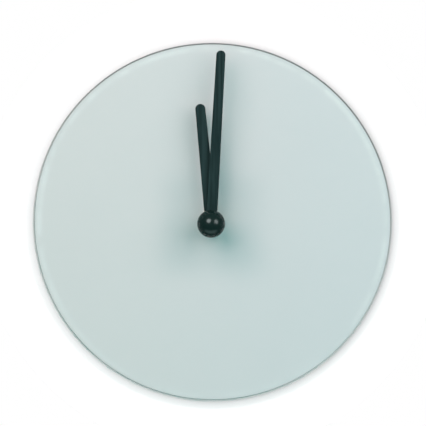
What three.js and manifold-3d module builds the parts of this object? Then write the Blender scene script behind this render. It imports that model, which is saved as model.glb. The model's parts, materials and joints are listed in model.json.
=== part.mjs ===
// Round glass wall clock with a quartz movement, as an assembly of separate pieces, in millimetres.
// The clock is drawn as it is seen on the wall: x to the right, y up, z towards the viewer,
// with the wall at z = 0 and the hands' axis at x = y = 0.
// The finished group is stood upright, so that +Z is up and the dial faces -Y.
import * as THREE from "three";
import { mergeVertices } from "three/addons/utils/BufferGeometryUtils.js";
import Module from "manifold-3d";

const wasm = await Module();
wasm.setup();

// Glass face
const GLASS_DIAMETER = 200;
const GLASS_THICKNESS = 5;
const GLASS_CHAMFER = 0.8;
const COAT_THICKNESS = 0.3;
const COAT_MARGIN = 0.85;

// Hands, as read on the dial: angles run clockwise from twelve o'clock
const MINUTE_HAND_LENGTH = 95.9;
const MINUTE_TIP_WIDTH = 5.05;
const MINUTE_ROOT_WIDTH = 6.1;
const MINUTE_HAND_ANGLE = 3.25;
const HOUR_HAND_LENGTH = 66.5;
const HOUR_TIP_WIDTH = 5.55;
const HOUR_ROOT_WIDTH = 6.9;
const HOUR_HAND_ANGLE = -5.55;
const HAND_THICKNESS = 1.4;
const HAND_EDGE = 0.4;
const HAND_HUB_WALL = 1.7;
const HAND_SPACING = 0.8;
const BALL_DIAMETER = 15.5;
const BALL_HEIGHT = 9.8;

// Clamp through the glass
const GASKET_BAND = 10;
const GASKET_THICKNESS = 1;
const WASHER_BAND = 2.8;
const WASHER_THICKNESS = 0.5;
const NUT_WALL = 1.6;
const NUT_THICKNESS = 2.2;
const NUT_CORNER_BEVEL = 0.4;
const BUSH_BEYOND_NUT = 0.6;
const BUSH_END_CHAMFER = 0.3;
const BUSH_FLANGE_REACH = 1.3;
const BUSH_FLANGE_THICKNESS = 0.45;

// Shafts on the hands' axis, each inside the next
const SECONDS_ARBOR_DIAMETER = 1.1;
const MINUTE_PIPE_WALL = 0.9;
const HOUR_PIPE_WALL = 0.8;
const BUSH_WALL = 1.4;

// Other shafts
const ARBOR_DIAMETER = 1.8;
const PIVOT_DIAMETER = 1;
const PIVOT_DEPTH = 0.8;
const MINUTE_WHEEL_ARBOR_DIAMETER = 1.5;

// Gear train. Each pair is pinion teeth, then wheel teeth.
const ROTOR_TEETH = [8, 40];
const SECONDS_TEETH = [8, 48];
const THIRD_TEETH = [8, 64];
const CENTRE_TEETH = [8, 60];
const MINUTE_TEETH = [12, 36];
const HOUR_TEETH = [10, 40];
const ROTOR_MODULE = 0.3;
const CENTRE_MODULE = 0.3;
const PRESSURE_ANGLE = 20;
const ADDENDUM_RATIO = 0.8;
const DEDENDUM_RATIO = 1.25;
const TOOTH_SHIFT_RATIO = 0.5;
const TOOTH_THINNING_RATIO = 0.07;
const WHEEL_THICKNESS = 0.8;
const PINION_OVERHANG = 0.1;
const LAYER_GAP = 0.8;
const CLUTCH_SPRING_THICKNESS = 0.3;
const CLUTCH_SPRING_BAND = 1.2;

// Where the shafts stand, as directions from the shaft that each one meshes with
const THIRD_DIRECTION = 160;
const INTERMEDIATE_DIRECTION = 20;
const ROTOR_DIRECTION = 60;
const MINUTE_WHEEL_DIRECTION = 90;

// Stepping motor
const MAGNET_DIAMETER = 4.6;
const MAGNET_LENGTH = 2;
const AIR_GAP = 0.45;
const STATOR_THICKNESS = 1;
const STATOR_RIM = 1.2;
const STATOR_LEG_WIDTH = 3.5;
const COIL_LENGTH = 14;
const BOBBIN_FLANGE = 6.6;
const BOBBIN_FLANGE_THICKNESS = 0.8;
const BOBBIN_WALL = 0.6;
const WINDING_DIAMETER = 5.8;
const CORE_WIDTH = 3;
const CORE_THICKNESS = 1.1;

// Movement case
const CASE_WALL = 1.4;
const FRONT_WALL = 1.6;
const CASE_CORNER_RADIUS = 3;
const PARTITION = 1.2;
const COVER_THICKNESS = 1.6;
const BOSS_HEIGHT = 1;
const BOSS_WALL = 0.8;
const BRIDGE_THICKNESS = 1;
const POST_DIAMETER = 3.4;
const POST_SHOULDER = 0.7;
const SLEEVE_WALL = 0.75;
const LATCH_WIDTH = 6;
const LATCH_REACH = 0.9;
const LATCH_HEIGHT_SHARE = 0.5;
const PEG_DIAMETER = 1.4;
const PEG_SHOULDER = 0.6;

// Hanging loop on top of the case
const LOOP_WIDTH = 18;
const LOOP_THICKNESS = 3;
const LOOP_RIM = 2.5;
const LOOP_SLOT_WIDTH = 9.6;
const LOOP_SLOT_HEIGHT = 4.8;
const LOOP_PEAK_HEIGHT = 1.7;
const LOOP_CORNER_RADIUS = 4;

// Setting knob
const KNOB_DIAMETER = 10.4;
const KNOB_THICKNESS = 1.9;
const KNOB_FLUTES = 14;
const KNOB_FLUTE_DEPTH = 0.35;
const KNOB_SHAFT_DIAMETER = 2.4;
const KNOB_SHAFT_LENGTH = 3.6;
const KNOB_SOCKET_DEPTH = 2;
const KNOB_CLEARANCE = 0.6;
const WELL_WALL = 0.9;

// Electrics
const BATTERY_DIAMETER = 14.1;
const BATTERY_LENGTH = 50.5;
const BATTERY_NUB_DIAMETER = 5.5;
const BATTERY_NUB_LENGTH = 1.3;
const BATTERY_EDGE = 0.6;
const CONTACT_THICKNESS = 0.4;
const CONTACT_SPACE = 1.3;
const CONTACT_PLATE_WIDTH = 8;
const CONTACT_STRIP_WIDTH = 1.6;
const BOARD_WIDTH = 13;
const BOARD_HEIGHT = 22;
const BOARD_THICKNESS = 0.8;
const CHIP_DIAMETER = 4.4;
const CHIP_HEIGHT = 1;
const CRYSTAL_DIAMETER = 1.5;
const CRYSTAL_LENGTH = 6;

// Clearances
const RUNNING_GAP = 0.1;
const SEAT_GAP = 0.05;
const PART_GAP = 0.3;
const WHEEL_GAP = 0.4;
const CHAMBER_CLEARANCE = 1.6;
const BAY_CLEARANCE = 0.15;

// Facets of round pieces
const DISC_SIDES = 80;
const RING_SIDES = 32;
const SHAFT_SIDES = 24;
const PIN_SIDES = 12;
const ARC_STEPS = 6;
const MERGE_TOLERANCE = 1e-4;

const radians = THREE.MathUtils.degToRad;
const polar = (radius, degrees) => new THREE.Vector2(
  radius * Math.cos(radians(degrees)),
  radius * Math.sin(radians(degrees)),
);

// Gears. A pinion and its wheel share a module, and the pinion's teeth are shifted outwards.
const pitchRadius = (gear) => (gear.module * gear.teeth) / 2;
const tipRadius = (gear) => pitchRadius(gear) + gear.module * (ADDENDUM_RATIO + gear.shift);
const rootRadius = (gear) => pitchRadius(gear) - gear.module * (DEDENDUM_RATIO - gear.shift);
const moduleFor = ([pinion, wheel], distance) => (2 * distance) / (pinion + wheel);
const distanceFor = ([pinion, wheel], module) => (module * (pinion + wheel)) / 2;

function meshedPair([pinionTeeth, wheelTeeth], module) {
  return {
    pinion: { teeth: pinionTeeth, module, shift: TOOTH_SHIFT_RATIO, flankSteps: 2 },
    wheel: { teeth: wheelTeeth, module, shift: -TOOTH_SHIFT_RATIO, flankSteps: 1 },
  };
}

// The turn of a wheel that puts a tooth space in front of the pinion's tooth, the pinion being unturned.
function meshTurn({ pinion, wheel }, pinionPlace, wheelPlace) {
  const direction = Math.atan2(wheelPlace.y - pinionPlace.y, wheelPlace.x - pinionPlace.x);
  const pinionPhase = (direction * pinion.teeth) / (2 * Math.PI);
  return direction + Math.PI - ((0.5 - pinionPhase) * 2 * Math.PI) / wheel.teeth;
}

// Centre distances: the slower shafts pass just outside the centre wheel.
const arborRadius = ARBOR_DIAMETER / 2;
const pivotRadius = PIVOT_DIAMETER / 2;
const knobShaftRadius = KNOB_SHAFT_DIAMETER / 2;
const centrePair = meshedPair(CENTRE_TEETH, CENTRE_MODULE);
const thirdDistance = distanceFor(CENTRE_TEETH, CENTRE_MODULE);
const thirdPair = meshedPair(THIRD_TEETH, moduleFor(THIRD_TEETH, thirdDistance));
const intermediateDistance = tipRadius(centrePair.wheel) + arborRadius + WHEEL_GAP;
const secondsPair = meshedPair(SECONDS_TEETH, moduleFor(SECONDS_TEETH, intermediateDistance));
const rotorPair = meshedPair(ROTOR_TEETH, ROTOR_MODULE);
const rotorDistance = distanceFor(ROTOR_TEETH, ROTOR_MODULE);
const motionDistance = tipRadius(centrePair.wheel) + knobShaftRadius + WHEEL_GAP;
const minutePair = meshedPair(MINUTE_TEETH, moduleFor(MINUTE_TEETH, motionDistance));
const hourPair = meshedPair(HOUR_TEETH, moduleFor(HOUR_TEETH, motionDistance));

// Shaft places
const centreAt = new THREE.Vector2(0, 0);
const thirdAt = polar(thirdDistance, THIRD_DIRECTION);
const intermediateAt = polar(intermediateDistance, INTERMEDIATE_DIRECTION);
const rotorAt = polar(rotorDistance, ROTOR_DIRECTION).add(intermediateAt);
const minuteWheelAt = polar(motionDistance, MINUTE_WHEEL_DIRECTION);

// Radii on the hands' axis
const secondsArborRadius = SECONDS_ARBOR_DIAMETER / 2;
const minutePipeBore = secondsArborRadius + RUNNING_GAP;
const minutePipeRadius = minutePipeBore + MINUTE_PIPE_WALL;
const hourPipeBore = minutePipeRadius + RUNNING_GAP;
const hourPipeRadius = hourPipeBore + HOUR_PIPE_WALL;
const bushBore = hourPipeRadius + RUNNING_GAP;
const bushRadius = bushBore + BUSH_WALL;
const bushHole = bushRadius + RUNNING_GAP;

// Layers of the movement, counted from the wall
const bossTop = COVER_THICKNESS + BOSS_HEIGHT;
const rearShoulder = bossTop + RUNNING_GAP;
const intermediateZ = rearShoulder + LAYER_GAP;
const secondsZ = intermediateZ + WHEEL_THICKNESS + LAYER_GAP;
const thirdZ = secondsZ + WHEEL_THICKNESS + LAYER_GAP;
const clutchZ = thirdZ + WHEEL_THICKNESS + PART_GAP;
const centreZ = clutchZ + CLUTCH_SPRING_THICKNESS + SEAT_GAP + PART_GAP;
const statorZ = thirdZ;
const coreTop = statorZ - SEAT_GAP;
const coreZ = coreTop - CORE_THICKNESS;
const coilZ = coreZ + CORE_THICKNESS / 2;
const bridgeZ = Math.max(
  centreZ + WHEEL_THICKNESS + WHEEL_GAP,
  coilZ + BOBBIN_FLANGE / 2 + PART_GAP,
);
const bridgeTop = bridgeZ + BRIDGE_THICKNESS;
const frontShoulder = bridgeZ - RUNNING_GAP;
const minuteZ = bridgeTop + WHEEL_GAP;
const hourZ = minuteZ + WHEEL_THICKNESS + WHEEL_GAP;
const layersTop = hourZ + WHEEL_THICKNESS + PART_GAP + BUSH_FLANGE_THICKNESS + SEAT_GAP;
const batteryRadius = BATTERY_DIAMETER / 2;
const frontInner = Math.max(layersTop, BATTERY_DIAMETER + 2 * BAY_CLEARANCE);
const caseFront = frontInner + FRONT_WALL;

// Layers in front of the case
const gasketZ = caseFront + SEAT_GAP;
const coatZ = gasketZ + GASKET_THICKNESS + SEAT_GAP;
const glassZ = coatZ + COAT_THICKNESS + SEAT_GAP;
const glassFront = glassZ + GLASS_THICKNESS;
const washerZ = glassFront + SEAT_GAP;
const nutZ = washerZ + WASHER_THICKNESS + SEAT_GAP;
const bushFront = nutZ + NUT_THICKNESS + BUSH_BEYOND_NUT;
const hourHandZ = bushFront + HAND_SPACING;
const minuteHandZ = hourHandZ + HAND_THICKNESS + HAND_SPACING;
const ballZ = minuteHandZ + HAND_THICKNESS + SEAT_GAP;

// Chamber for the wheels and bay for the battery, seen from the front
const centreReach = Math.max(
  tipRadius(centrePair.wheel),
  tipRadius(secondsPair.wheel),
  tipRadius(hourPair.wheel),
);
const chamberBottom = -(centreReach + CHAMBER_CLEARANCE);
const bayTop = chamberBottom - PARTITION;
const batteryY = bayTop - BAY_CLEARANCE - batteryRadius;
const bayBottom = batteryY - batteryRadius - BAY_CLEARANCE;
const caseBottom = bayBottom - CASE_WALL;
const batteryZ = frontInner - BAY_CLEARANCE - batteryRadius;

// Motor outline
const magnetRadius = MAGNET_DIAMETER / 2;
const statorHole = magnetRadius + AIR_GAP;
const statorBottom = rotorAt.y - statorHole - STATOR_RIM;
const yokeTop = rotorAt.y + statorHole + STATOR_RIM;
const coilY = yokeTop + PART_GAP + BOBBIN_FLANGE / 2;
const coilX = rotorAt.x + PART_GAP;
const coilHalf = COIL_LENGTH / 2;
const legInner = coilHalf + PART_GAP;
const legMiddle = legInner + STATOR_LEG_WIDTH / 2;
const legOuter = legInner + STATOR_LEG_WIDTH;
const legTop = coilY + CORE_WIDTH / 2;

// Case outline
const postRadius = POST_DIAMETER / 2;
const sleeveRadius = postRadius + RUNNING_GAP + SLEEVE_WALL;
const insideHalf = Math.max(
  BATTERY_LENGTH / 2 + CONTACT_SPACE,
  coilX + legOuter + PART_GAP,
);
const chamberTop = legTop + PART_GAP + 2 * sleeveRadius;
const caseTop = chamberTop + CASE_WALL;
const caseHalf = insideHalf + CASE_WALL;
const postX = insideHalf - sleeveRadius;
const postPlaces = [
  new THREE.Vector2(-postX, chamberBottom + sleeveRadius),
  new THREE.Vector2(postX, chamberBottom + sleeveRadius),
  new THREE.Vector2(-postX, chamberTop - sleeveRadius),
  new THREE.Vector2(postX, chamberTop - sleeveRadius),
];

// Setting knob and its well in the rear cover
const knobRadius = KNOB_DIAMETER / 2;
const wellRadius = knobRadius + KNOB_CLEARANCE;
const knobTop = SEAT_GAP + KNOB_THICKNESS;
const wellFloor = knobTop + RUNNING_GAP;
const knobShaftTop = knobTop + KNOB_SHAFT_LENGTH;

// Circuit board, in front of the bridge on the left
const boardZ = frontInner - WHEEL_GAP - BOARD_THICKNESS;
const boardRight = -(tipRadius(hourPair.wheel) + PART_GAP);
const boardLeft = boardRight - BOARD_WIDTH;
const boardMiddle = (boardLeft + boardRight) / 2;
const boardBottom = chamberBottom + 2 * sleeveRadius + PART_GAP;
const boardTop = boardBottom + BOARD_HEIGHT;
const pegRadius = PEG_DIAMETER / 2;
const pegShoulderRadius = pegRadius + PEG_SHOULDER;
const boardPegPlaces = [boardBottom, boardTop].map(
  (edge, i) => new THREE.Vector2(boardMiddle, edge + (i ? -1 : 1) * 2 * pegShoulderRadius),
);

// Finishes
const finish = (color, roughness, metalness = 0) =>
  new THREE.MeshStandardMaterial({ color, roughness, metalness, flatShading: true });
const finishes = {
  glass: new THREE.MeshPhysicalMaterial({
    color: 0xd7ebe6,
    roughness: 0.05,
    transmission: 0.9,
    thickness: GLASS_THICKNESS,
    flatShading: true,
  }),
  coat: finish(0xe9efed, 0.6),
  handBlack: finish(0x1b2524, 0.45),
  ballBlack: finish(0x0c1211, 0.12),
  rubber: finish(0x1c1c1c, 0.85),
  brass: finish(0xb8963f, 0.35, 1),
  steel: finish(0x9a9c9e, 0.35, 1),
  magnet: finish(0x3a3a3c, 0.5, 0.4),
  caseBlack: finish(0x17181a, 0.55),
  gearWhite: finish(0xe6e2d6, 0.5),
  bobbin: finish(0x2f5d3a, 0.5),
  copper: finish(0xb3632c, 0.35, 0.9),
  board: finish(0x6d4a24, 0.6),
  epoxy: finish(0x101010, 0.4),
  nickel: finish(0xc3c0b6, 0.3, 1),
  battery: finish(0x4a4f54, 0.35, 0.3),
};

// A closed three.js geometry as a solid.
function solidOf(geometry) {
  const bare = geometry.clone();
  bare.deleteAttribute("normal");
  bare.deleteAttribute("uv");
  const merged = mergeVertices(bare, MERGE_TOLERANCE);
  const corners = merged.index.array;
  const kept = [];
  for (let i = 0; i < corners.length; i += 3) {
    const [a, b, c] = corners.slice(i, i + 3);
    if (a !== b && b !== c && c !== a) kept.push(a, b, c);
  }
  return new wasm.Manifold(new wasm.Mesh({
    numProp: 3,
    vertProperties: merged.attributes.position.array,
    triVerts: new Uint32Array(kept),
  }));
}

const joined = (...solids) => solids.reduce((sum, next) => sum.add(next));

// A piece turned about the z axis through a place, from a closed profile of [radius, z] points.
function turned(profile, sides, at = centreAt) {
  const points = profile.map(([radius, z]) => new THREE.Vector2(radius, z));
  if (THREE.ShapeUtils.area(points) < 0) points.reverse();
  const opensOffAxis = points[0].x > 0 || points[points.length - 1].x > 0;
  if (opensOffAxis) points.push(points[0].clone());
  const geometry = new THREE.LatheGeometry(points, sides);
  geometry.rotateX(Math.PI / 2);
  geometry.translate(at.x, at.y, 0);
  return solidOf(geometry);
}

function ring(inner, outer, z0, z1, sides, at) {
  return turned([[inner, z0], [outer, z0], [outer, z1], [inner, z1]], sides, at);
}

function rod(radius, z0, z1, sides, at) {
  return turned([[0, z0], [radius, z0], [radius, z1], [0, z1]], sides, at);
}

function box([x0, x1], [y0, y1], [z0, z1]) {
  const geometry = new THREE.BoxGeometry();
  const corners = geometry.attributes.position;
  for (let i = 0; i < corners.count; i++) {
    const x = corners.getX(i) < 0 ? x0 : x1;
    const y = corners.getY(i) < 0 ? y0 : y1;
    const z = corners.getZ(i) < 0 ? z0 : z1;
    corners.setXYZ(i, x, y, z);
  }
  return solidOf(geometry);
}

// An outline in the plane of the dial, from z0 to z1.
function plate(shape, z0, z1) {
  const geometry = new THREE.ExtrudeGeometry(shape, {
    depth: 1,
    bevelEnabled: false,
    curveSegments: ARC_STEPS,
  });
  const corners = geometry.attributes.position;
  for (let i = 0; i < corners.count; i++) {
    corners.setZ(i, corners.getZ(i) < 0.5 ? z0 : z1);
  }
  return solidOf(geometry);
}

function roundedRectangle([x0, x1], [y0, y1], radius) {
  const shape = new THREE.Shape();
  shape.absarc(x1 - radius, y1 - radius, radius, 0, Math.PI / 2);
  shape.absarc(x0 + radius, y1 - radius, radius, Math.PI / 2, Math.PI);
  shape.absarc(x0 + radius, y0 + radius, radius, Math.PI, 1.5 * Math.PI);
  shape.absarc(x1 - radius, y0 + radius, radius, 1.5 * Math.PI, 2 * Math.PI);
  return shape;
}

const involute = (angle) => Math.tan(angle) - angle;

// Involute outline of a gear about the origin, with one tooth at the angle `turn`.
function gearShape(gear, turn) {
  const pressure = radians(PRESSURE_ANGLE);
  const pitch = pitchRadius(gear);
  const base = pitch * Math.cos(pressure);
  const root = rootRadius(gear);
  const tip = tipRadius(gear);
  const halfAtPitch =
    (Math.PI / 2 + 2 * gear.shift * Math.tan(pressure)) / gear.teeth -
    (TOOTH_THINNING_RATIO * gear.module) / pitch;
  const halfAt = (radius) =>
    halfAtPitch + involute(pressure) - involute(Math.acos(Math.min(1, base / radius)));
  const flankStart = Math.max(root, base);
  const radii = [root];
  for (let step = 1; step <= gear.flankSteps; step++) {
    radii.push(flankStart + ((tip - flankStart) * step) / gear.flankSteps);
  }
  const points = [];
  for (let tooth = 0; tooth < gear.teeth; tooth++) {
    const middle = turn + (tooth * 2 * Math.PI) / gear.teeth;
    const corner = (radius, side) => {
      const angle = middle + side * halfAt(Math.max(radius, base));
      return new THREE.Vector2(radius * Math.cos(angle), radius * Math.sin(angle));
    };
    points.push(...radii.map((radius) => corner(radius, -1)));
    points.push(...[...radii].reverse().map((radius) => corner(radius, 1)));
  }
  return new THREE.Shape(points);
}

// A wheel's face at its layer, and a pinion that overhangs the wheel it drives.
const wheelFace = (gear, z, turn) => plate(gearShape(gear, turn), z, z + WHEEL_THICKNESS);
const pinionFace = (gear, z) =>
  plate(gearShape(gear, 0), z - PINION_OVERHANG, z + WHEEL_THICKNESS + PINION_OVERHANG);

// A shaft with a thin pivot at each end, running between the rear cover and the bridge.
function pivotedArbor(bodyRadius) {
  const z0 = rearShoulder - BOSS_HEIGHT - RUNNING_GAP;
  const z1 = frontShoulder + PIVOT_DEPTH;
  return turned([
    [0, z0],
    [pivotRadius, z0],
    [pivotRadius, rearShoulder],
    [bodyRadius, rearShoulder],
    [bodyRadius, frontShoulder],
    [pivotRadius, frontShoulder],
    [pivotRadius, z1],
    [0, z1],
  ], PIN_SIDES);
}

// Glass, coat and clamp
function glassDisc() {
  const rim = GLASS_DIAMETER / 2;
  return turned([
    [bushHole, glassZ],
    [rim - GLASS_CHAMFER, glassZ],
    [rim, glassZ + GLASS_CHAMFER],
    [rim, glassFront - GLASS_CHAMFER],
    [rim - GLASS_CHAMFER, glassFront],
    [bushHole, glassFront],
  ], DISC_SIDES);
}

function backCoat() {
  const rim = GLASS_DIAMETER / 2 - COAT_MARGIN;
  return ring(bushHole, rim, coatZ, coatZ + COAT_THICKNESS, DISC_SIDES);
}

const gasket = () =>
  ring(bushHole, bushHole + GASKET_BAND, gasketZ, gasketZ + GASKET_THICKNESS, RING_SIDES);

const washer = () =>
  ring(bushHole, bushHole + WASHER_BAND, washerZ, washerZ + WASHER_THICKNESS, RING_SIDES);

function hexNut() {
  const apothem = bushHole + NUT_WALL;
  const corner = apothem / Math.cos(Math.PI / 6);
  const hexagon = new THREE.Shape();
  for (let i = 0; i < 6; i++) {
    const { x, y } = polar(corner, 60 * i);
    if (i) hexagon.lineTo(x, y);
    else hexagon.moveTo(x, y);
  }
  const top = nutZ + NUT_THICKNESS;
  const bevelled = turned([
    [0, nutZ],
    [corner, nutZ],
    [corner, top - NUT_CORNER_BEVEL],
    [corner - 2 * NUT_CORNER_BEVEL, top],
    [0, top],
  ], SHAFT_SIDES);
  const hole = rod(bushHole, nutZ - PART_GAP, top + PART_GAP, SHAFT_SIDES);
  return plate(hexagon, nutZ, top).intersect(bevelled).subtract(hole);
}

function threadedBush() {
  const flangeTop = frontInner - SEAT_GAP;
  const flangeRadius = bushRadius + BUSH_FLANGE_REACH;
  return turned([
    [bushBore, flangeTop - BUSH_FLANGE_THICKNESS],
    [flangeRadius, flangeTop - BUSH_FLANGE_THICKNESS],
    [flangeRadius, flangeTop],
    [bushRadius, flangeTop],
    [bushRadius, bushFront - BUSH_END_CHAMFER],
    [bushRadius - BUSH_END_CHAMFER, bushFront],
    [bushBore, bushFront],
  ], SHAFT_SIDES);
}

// Movement case
function latchPlaces(reachInside, reachOutside, extra) {
  const middle = chamberBottom + LATCH_HEIGHT_SHARE * (chamberTop - chamberBottom);
  const half = LATCH_WIDTH / 2 + extra;
  const z = [COVER_THICKNESS / 4 - extra, (3 * COVER_THICKNESS) / 4 + extra];
  return [-1, 1].map((side) => {
    const ends = [side * reachInside, side * reachOutside].sort((a, b) => a - b);
    return box(ends, [middle - half, middle + half], z);
  });
}

function hangingLoop() {
  const half = LOOP_WIDTH / 2;
  const corner = half - LOOP_CORNER_RADIUS;
  const slotHalf = LOOP_SLOT_WIDTH / 2;
  const slotBottom = caseTop + LOOP_RIM;
  const slotTop = slotBottom + LOOP_SLOT_HEIGHT;
  const peak = slotTop + LOOP_PEAK_HEIGHT;
  const cornerY = peak + LOOP_RIM - LOOP_CORNER_RADIUS;
  const outline = new THREE.Shape();
  outline.moveTo(-half, caseTop - CASE_WALL / 2);
  outline.lineTo(half, caseTop - CASE_WALL / 2);
  outline.absarc(corner, cornerY, LOOP_CORNER_RADIUS, 0, Math.PI / 2);
  outline.absarc(-corner, cornerY, LOOP_CORNER_RADIUS, Math.PI / 2, Math.PI);
  const slot = new THREE.Path();
  slot.moveTo(-slotHalf, slotBottom);
  slot.lineTo(slotHalf, slotBottom);
  slot.lineTo(slotHalf, slotTop);
  slot.quadraticCurveTo(slotHalf / 2, slotTop, 0, peak);
  slot.quadraticCurveTo(-slotHalf / 2, slotTop, -slotHalf, slotTop);
  outline.holes.push(slot);
  return plate(outline, 0, LOOP_THICKNESS);
}

// Contact strips pass from the bay to the chamber in front of the bridge, beside the lower posts.
const stripOuter = postX - postRadius - POST_SHOULDER - PART_GAP;
const stripInner = stripOuter - CONTACT_STRIP_WIDTH;
const stripZ = minuteZ;

function movementCase() {
  const through = -PART_GAP;
  let body = plate(
    roundedRectangle([-caseHalf, caseHalf], [caseBottom, caseTop], CASE_CORNER_RADIUS), 0, caseFront,
  );
  body = body.subtract(box([-insideHalf, insideHalf], [chamberBottom, chamberTop], [through, frontInner]));
  body = body.subtract(box([-insideHalf, insideHalf], [bayBottom, bayTop], [through, frontInner]));
  body = body.subtract(rod(bushHole, frontInner - PART_GAP, caseFront + PART_GAP, SHAFT_SIDES));
  for (const window of latchPlaces(insideHalf - PART_GAP, caseHalf + PART_GAP, RUNNING_GAP)) {
    body = body.subtract(window);
  }
  for (const side of [-1, 1]) {
    const ends = [side * (stripInner - PART_GAP), side * (stripOuter + PART_GAP)].sort((a, b) => a - b);
    body = body.subtract(box(
      ends,
      [bayTop - PART_GAP, chamberBottom + PART_GAP],
      [stripZ - PART_GAP, stripZ + CONTACT_STRIP_WIDTH + PART_GAP],
    ));
  }
  for (const place of postPlaces) {
    body = body.add(turned([
      [0, COVER_THICKNESS + SEAT_GAP],
      [postRadius, COVER_THICKNESS + SEAT_GAP],
      [postRadius, bridgeTop + SEAT_GAP],
      [postRadius + POST_SHOULDER, bridgeTop + SEAT_GAP],
      [postRadius + POST_SHOULDER, frontInner + PART_GAP],
      [0, frontInner + PART_GAP],
    ], PIN_SIDES, place));
  }
  const minuteBossBack = hourZ + WHEEL_THICKNESS + PINION_OVERHANG + RUNNING_GAP;
  const minuteBoss = rod(
    pivotRadius + RUNNING_GAP + BOSS_WALL, minuteBossBack, frontInner + PART_GAP, PIN_SIDES, minuteWheelAt,
  );
  const minuteBearing = rod(
    pivotRadius + RUNNING_GAP, minuteBossBack - PART_GAP, frontInner + PIVOT_DEPTH, PIN_SIDES, minuteWheelAt,
  );
  body = body.add(minuteBoss).subtract(minuteBearing);
  for (const place of boardPegPlaces) {
    body = body.add(turned([
      [0, boardZ - PART_GAP],
      [pegRadius, boardZ - PART_GAP],
      [pegRadius, boardZ + BOARD_THICKNESS + SEAT_GAP],
      [pegShoulderRadius, boardZ + BOARD_THICKNESS + SEAT_GAP],
      [pegShoulderRadius, frontInner + PART_GAP],
      [0, frontInner + PART_GAP],
    ], PIN_SIDES, place));
  }
  return body.add(hangingLoop());
}

// Rear cover: a plate with bearings, sleeves over the posts, a well for the knob and two latches.
function rearCover() {
  const inset = RUNNING_GAP + SEAT_GAP;
  let cover = box(
    [inset - insideHalf, insideHalf - inset],
    [chamberBottom + inset, chamberTop - inset],
    [0, COVER_THICKNESS],
  );
  for (const tongue of latchPlaces(insideHalf - 2 * inset, insideHalf + LATCH_REACH, 0)) {
    cover = cover.add(tongue);
  }
  cover = cover.subtract(rod(wellRadius, -PART_GAP, COVER_THICKNESS + PART_GAP, SHAFT_SIDES, minuteWheelAt));
  const well = turned([
    [knobShaftRadius + RUNNING_GAP, wellFloor],
    [wellRadius, wellFloor],
    [wellRadius, 0],
    [wellRadius + WELL_WALL, 0],
    [wellRadius + WELL_WALL, wellFloor + WELL_WALL],
    [knobShaftRadius + RUNNING_GAP, wellFloor + WELL_WALL],
  ], SHAFT_SIDES, minuteWheelAt);
  cover = cover.add(well);
  for (const place of [centreAt, thirdAt, intermediateAt, rotorAt]) {
    const inner = pivotRadius + RUNNING_GAP;
    cover = cover.add(ring(inner, inner + BOSS_WALL, COVER_THICKNESS - PART_GAP, bossTop, PIN_SIDES, place));
    cover = cover.subtract(rod(inner, COVER_THICKNESS - BOSS_HEIGHT, bossTop, PIN_SIDES, place));
  }
  for (const place of postPlaces) {
    cover = cover.add(ring(
      postRadius + RUNNING_GAP,
      sleeveRadius - RUNNING_GAP,
      COVER_THICKNESS - PART_GAP,
      bridgeZ - SEAT_GAP,
      PIN_SIDES,
      place,
    ));
  }
  return cover;
}

const motorPegPlaces = [-1, 1].map((side) => new THREE.Vector2(coilX + side * legMiddle, coilY));

// Bridge: the plate that carries the wheels' front pivots and the motor's pegs.
function gearBridge() {
  let bridge = box(
    [PART_GAP - insideHalf, insideHalf - PART_GAP],
    [chamberBottom + PART_GAP, chamberTop - PART_GAP],
    [bridgeZ, bridgeTop],
  );
  const drill = (radius, place) => {
    bridge = bridge.subtract(rod(radius, bridgeZ - PART_GAP, bridgeTop + PART_GAP, PIN_SIDES, place));
  };
  for (const place of postPlaces) drill(postRadius + RUNNING_GAP, place);
  for (const place of [thirdAt, intermediateAt, rotorAt]) drill(pivotRadius + RUNNING_GAP, place);
  drill(minutePipeRadius + 2 * RUNNING_GAP, centreAt);
  drill(MINUTE_WHEEL_ARBOR_DIAMETER / 2 + 2 * RUNNING_GAP, minuteWheelAt);
  const pegEnd = coreZ - PART_GAP;
  const pegShoulder = statorZ + STATOR_THICKNESS + SEAT_GAP;
  for (const place of motorPegPlaces) {
    bridge = bridge.add(turned([
      [0, pegEnd],
      [pegRadius, pegEnd],
      [pegRadius, pegShoulder],
      [pegShoulderRadius, pegShoulder],
      [pegShoulderRadius, bridgeZ + PART_GAP],
      [0, bridgeZ + PART_GAP],
    ], PIN_SIDES, place));
  }
  return bridge;
}

// Stepping motor
function pegHole(place, z0, z1) {
  return rod(pegRadius + RUNNING_GAP, z0 - PART_GAP, z1 + PART_GAP, PIN_SIDES, place);
}

function statorPlate() {
  const z = [statorZ, statorZ + STATOR_THICKNESS];
  const yoke = box([coilX - legOuter, coilX + legOuter], [statorBottom, yokeTop], z);
  const legs = [-1, 1].map((side) => {
    const ends = [coilX + side * legInner, coilX + side * legOuter].sort((a, b) => a - b);
    return box(ends, [statorBottom, legTop], z);
  });
  let stator = joined(yoke, ...legs);
  stator = stator.subtract(rod(statorHole, z[0] - PART_GAP, z[1] + PART_GAP, SHAFT_SIDES, rotorAt));
  for (const place of motorPegPlaces) stator = stator.subtract(pegHole(place, ...z));
  return stator;
}

const coreSection = (grow) => [
  [coilY - CORE_WIDTH / 2 - grow, coilY + CORE_WIDTH / 2 + grow],
  [coreZ - grow, coreTop + grow],
];

function coilCore() {
  let core = box([coilX - legOuter, coilX + legOuter], ...coreSection(0));
  for (const place of motorPegPlaces) core = core.subtract(pegHole(place, coreZ, coreTop));
  return core;
}

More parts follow.
